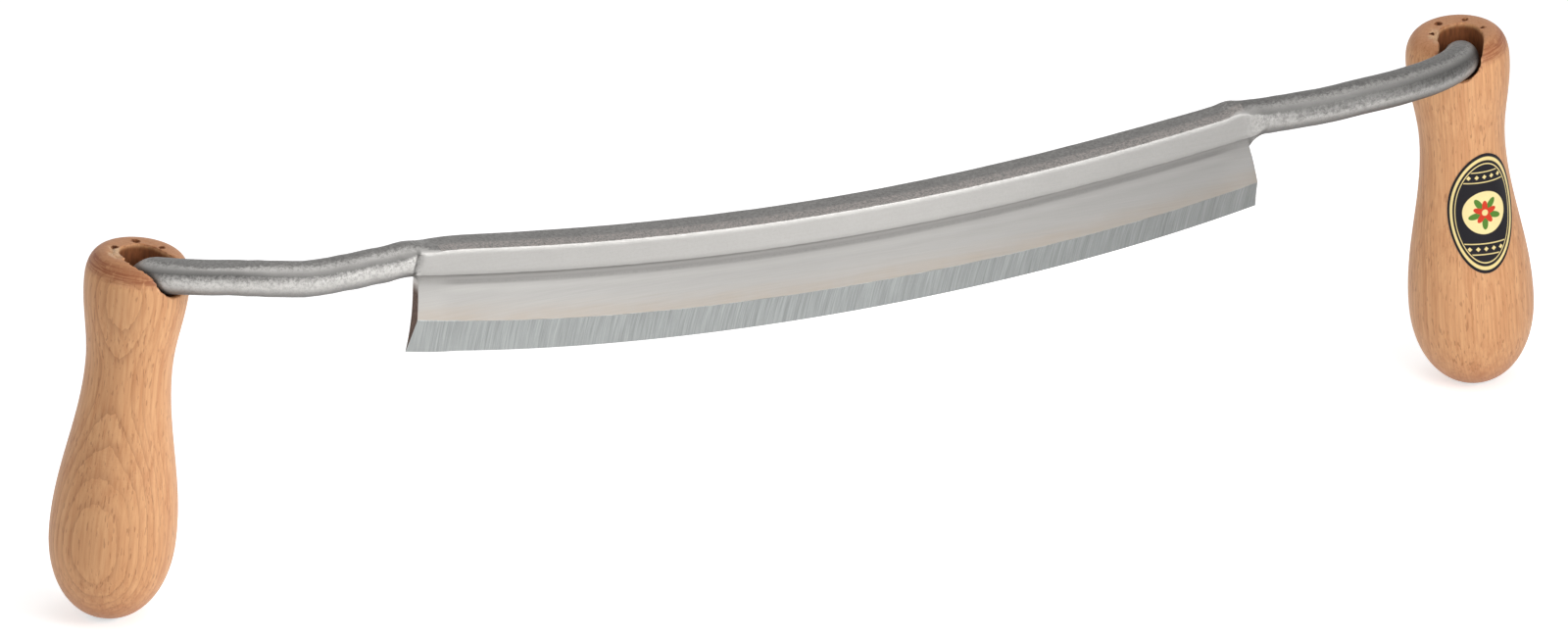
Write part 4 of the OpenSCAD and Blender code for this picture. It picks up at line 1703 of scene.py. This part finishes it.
@dataclass(frozen=True)
class Studio:
    """Pale floor, white background, soft lamps and the camera."""

    azimuth: float = -24.02
    elevation: float = 22.5
    reach: float = 7500.0
    scale_px: float = 3.795
    middle_px: tuple[float, float] = (849.71, 270.17)
    image_px: tuple[int, int] = (1600, 652)
    origin_drop: float = 2.8
    world_level: float = 0.41
    floor: tuple = srgb(250, 250, 250)
    lamps: tuple[Softbox, ...] = (
        Softbox("key_softbox", 24, 20, 0.55, 0.36, 0.78, aim_x=-0.2, spread=120),
        Softbox("fill_softbox", -50, 20, 1.0, 0.6, 0.10, aim_x=0.2, spread=90),
        Softbox("top_softbox", 10, 78, 1.3, 1.0, 0.24),
    )

    def camera(self) -> None:
        """Sets up the long lens that was fitted to the photograph."""
        a, e = math.radians(self.azimuth), math.radians(self.elevation)
        back = Vector((math.sin(a) * math.cos(e), -math.cos(a) * math.cos(e), math.sin(e)))
        right = Vector((math.cos(a), math.sin(a), 0))
        up = back.cross(right)
        aim = Vector((0, 0, -self.origin_drop))
        eye = aim + back * self.reach
        aim += right * ((self.image_px[0] / 2 - self.middle_px[0]) / self.scale_px)
        aim -= up * ((self.image_px[1] / 2 - self.middle_px[1]) / self.scale_px)
        lens = bpy.data.cameras.new("camera")
        lens.sensor_width = 36
        lens.lens = self.scale_px * self.reach / self.image_px[0] * lens.sensor_width
        lens.clip_start, lens.clip_end = 1.0, 60.0
        holder = bpy.data.objects.new("camera", lens)
        view = (eye - aim).normalized()
        across = up.cross(view).normalized()
        holder.matrix_world = Matrix.Translation(eye * MM) @ Matrix((across, view.cross(across), view)).transposed().to_4x4()
        bpy.context.scene.collection.objects.link(holder)
        bpy.context.scene.camera = holder

    def background(self) -> None:
        """White for the camera and for reflections, plain soft light for the rest."""
        world = bpy.data.worlds.new("studio")
        bpy.context.scene.world = world
        world.use_nodes = True
        s = NodeSheet(world.node_tree)
        rays = s.add("ShaderNodeLightPath")
        seen = s.math("MAXIMUM", rays.outputs["Is Camera Ray"], rays.outputs["Is Glossy Ray"])
        seen = s.math("MAXIMUM", seen, rays.outputs["Is Transmission Ray"])
        shader = world.node_tree.nodes["Background"]
        shader.inputs["Color"].default_value = (1, 1, 1, 1)
        s.feed(shader.inputs["Strength"], s.math("MULTIPLY_ADD", seen, 1 - self.world_level, self.world_level))

    def lay_floor(self, height: float) -> None:
        """A pale floor that fades to white for the camera and keeps the shadow.

        Args:
            height: Height of the floor in metres.
        """
        clear_bench()
        bpy.ops.mesh.primitive_plane_add(size=60, location=(0, 0, height))
        floor = started("floor")
        material, s, shader = new_finish("floor")
        rays = s.add("ShaderNodeLightPath")
        seen = s.math("MAXIMUM", rays.outputs["Is Camera Ray"], rays.outputs["Is Glossy Ray"])
        shader.inputs["Base Color"].default_value = self.floor
        shader.inputs["Roughness"].default_value = 0.9
        shader.inputs["Specular IOR Level"].default_value = 0.0
        shader.inputs["Emission Color"].default_value = (1, 1, 1, 1)
        s.feed(shader.inputs["Emission Strength"], s.math("MULTIPLY_ADD", seen, 0.45, 0.07))
        dressed(floor, material)

    def build(self, floor_z: float) -> None:
        """Sets the whole stage."""
        self.camera()
        self.background()
        for lamp in self.lamps:
            lamp.build()
        self.lay_floor(floor_z)


# The tool


def hand_over(piece: bpy.types.Object, node: str, material: bpy.types.Material) -> None:
    """Dresses a finished piece and lets it stand for its solid."""
    dressed(piece, material)
    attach(piece, BODY)
    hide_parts(node)
    log.info("%s: %d vertices, %d faces, for %s", piece.name, len(piece.data.vertices), len(piece.data.polygons), node)


ENDS = {
    Side.RIGHT: BladeEnd(121.5, 3.35, 0.68, 3.7, 113.0, 9.0, 121.6, 0.2, 0.08, 0.95, swell_x=117.5, swell_len=3.2),
    Side.LEFT: BladeEnd(122.75, 1.65, 2.1, 3.0, 116.0, 12.0, 124.3, 1.7, 0.7, -0.65, swell_x=121.0, swell_len=7.0, droop=0.4),
}
BENDS = {
    Side.RIGHT: BarBend(153.0, 70.8, -0.424, 27.6, 7.3, 4.76, (-0.94, -0.45),
                        ((119, 0.95), (128, 0.35), (134, 0.05), (144, -0.27), (156, 0.09), (168, 0.01), (180, -0.24),
                         (200, 0.0)), 0.0),
    Side.LEFT: BarBend(148.7, 70.2, -0.288, 31.7, 2.7, 6.21, (-1.3, -0.32),
                       ((118, 0.5), (127, 1.0), (135, 0.1), (144, -0.6), (150, -1.0), (155, -1.2), (160, -0.8), (165, -0.25),
                        (170, 0.25), (176, 0.8), (184, 0.75), (200, 0.2)), 0.45),
}
HOLES = {Side.RIGHT: (-1.0, -0.95, 11.3), Side.LEFT: (-0.9, -0.6, 12.0)}
TORN = {Side.RIGHT: 105.0, Side.LEFT: -45.0}
FLARES = {Side.RIGHT: 0.9, Side.LEFT: 2.0}
MARKS = {
    Side.LEFT: (ProngMark(-24, 6.8, 1.0), ProngMark(44, 6.8, 1.2), ProngMark(111, 7.05, 0.9)),
    Side.RIGHT: (ProngMark(51, 6.8, 1.15), ProngMark(-15, 7.0, 0.95), ProngMark(-75, 7.4, 0.75), ProngMark(103, 6.7, 0.75)),
}


def main() -> None:
    """Builds the stage and every piece in order."""
    logging.basicConfig(level=logging.INFO, format="%(name)s: %(message)s")
    bpy.context.scene.view_settings.view_transform = "Standard"
    Studio().build(CAD_BOX[0].z)
    route, curves = TangRoute(), BladeCurves()
    grain, heights, beech = forge_grain(), blade_heights(curves), beech_grain()

    hand_over(Forging(ENDS, BENDS, route=route, curves=curves).build(), "blade_with_tangs",
              ForgedFinish().build(grain, heights))

    washer_steel = WasherFinish().build(grain)
    billets = {
        Side.LEFT: BeechFinish("beech_left", route, Side.LEFT, (-0.64, -0.77, 0.0), (-0.94, -0.33), ring_gap=1.3),
        Side.RIGHT: BeechFinish("beech_right", route, Side.RIGHT, (0.91, -0.41, 0.0), (0.65, -0.76), ring_depth=0.25),
    }
    for side in Side:
        handle = Handle(side, BENDS[side], MARKS[side], HOLES[side], TORN[side], FLARES[side], route).build()
        hand_over(handle, f"{side.value}_handle", billets[side].build(beech))
        hand_over(Washer(side, BENDS[side].driven, route).build(), f"{side.value}_washer", washer_steel)
        if side is Side.RIGHT:
            hand_over(NeckLabel(route=route).build(handle), "handle_label", LabelFinish().build())

    clear_bench()


if __name__ == "__main__":
    main()
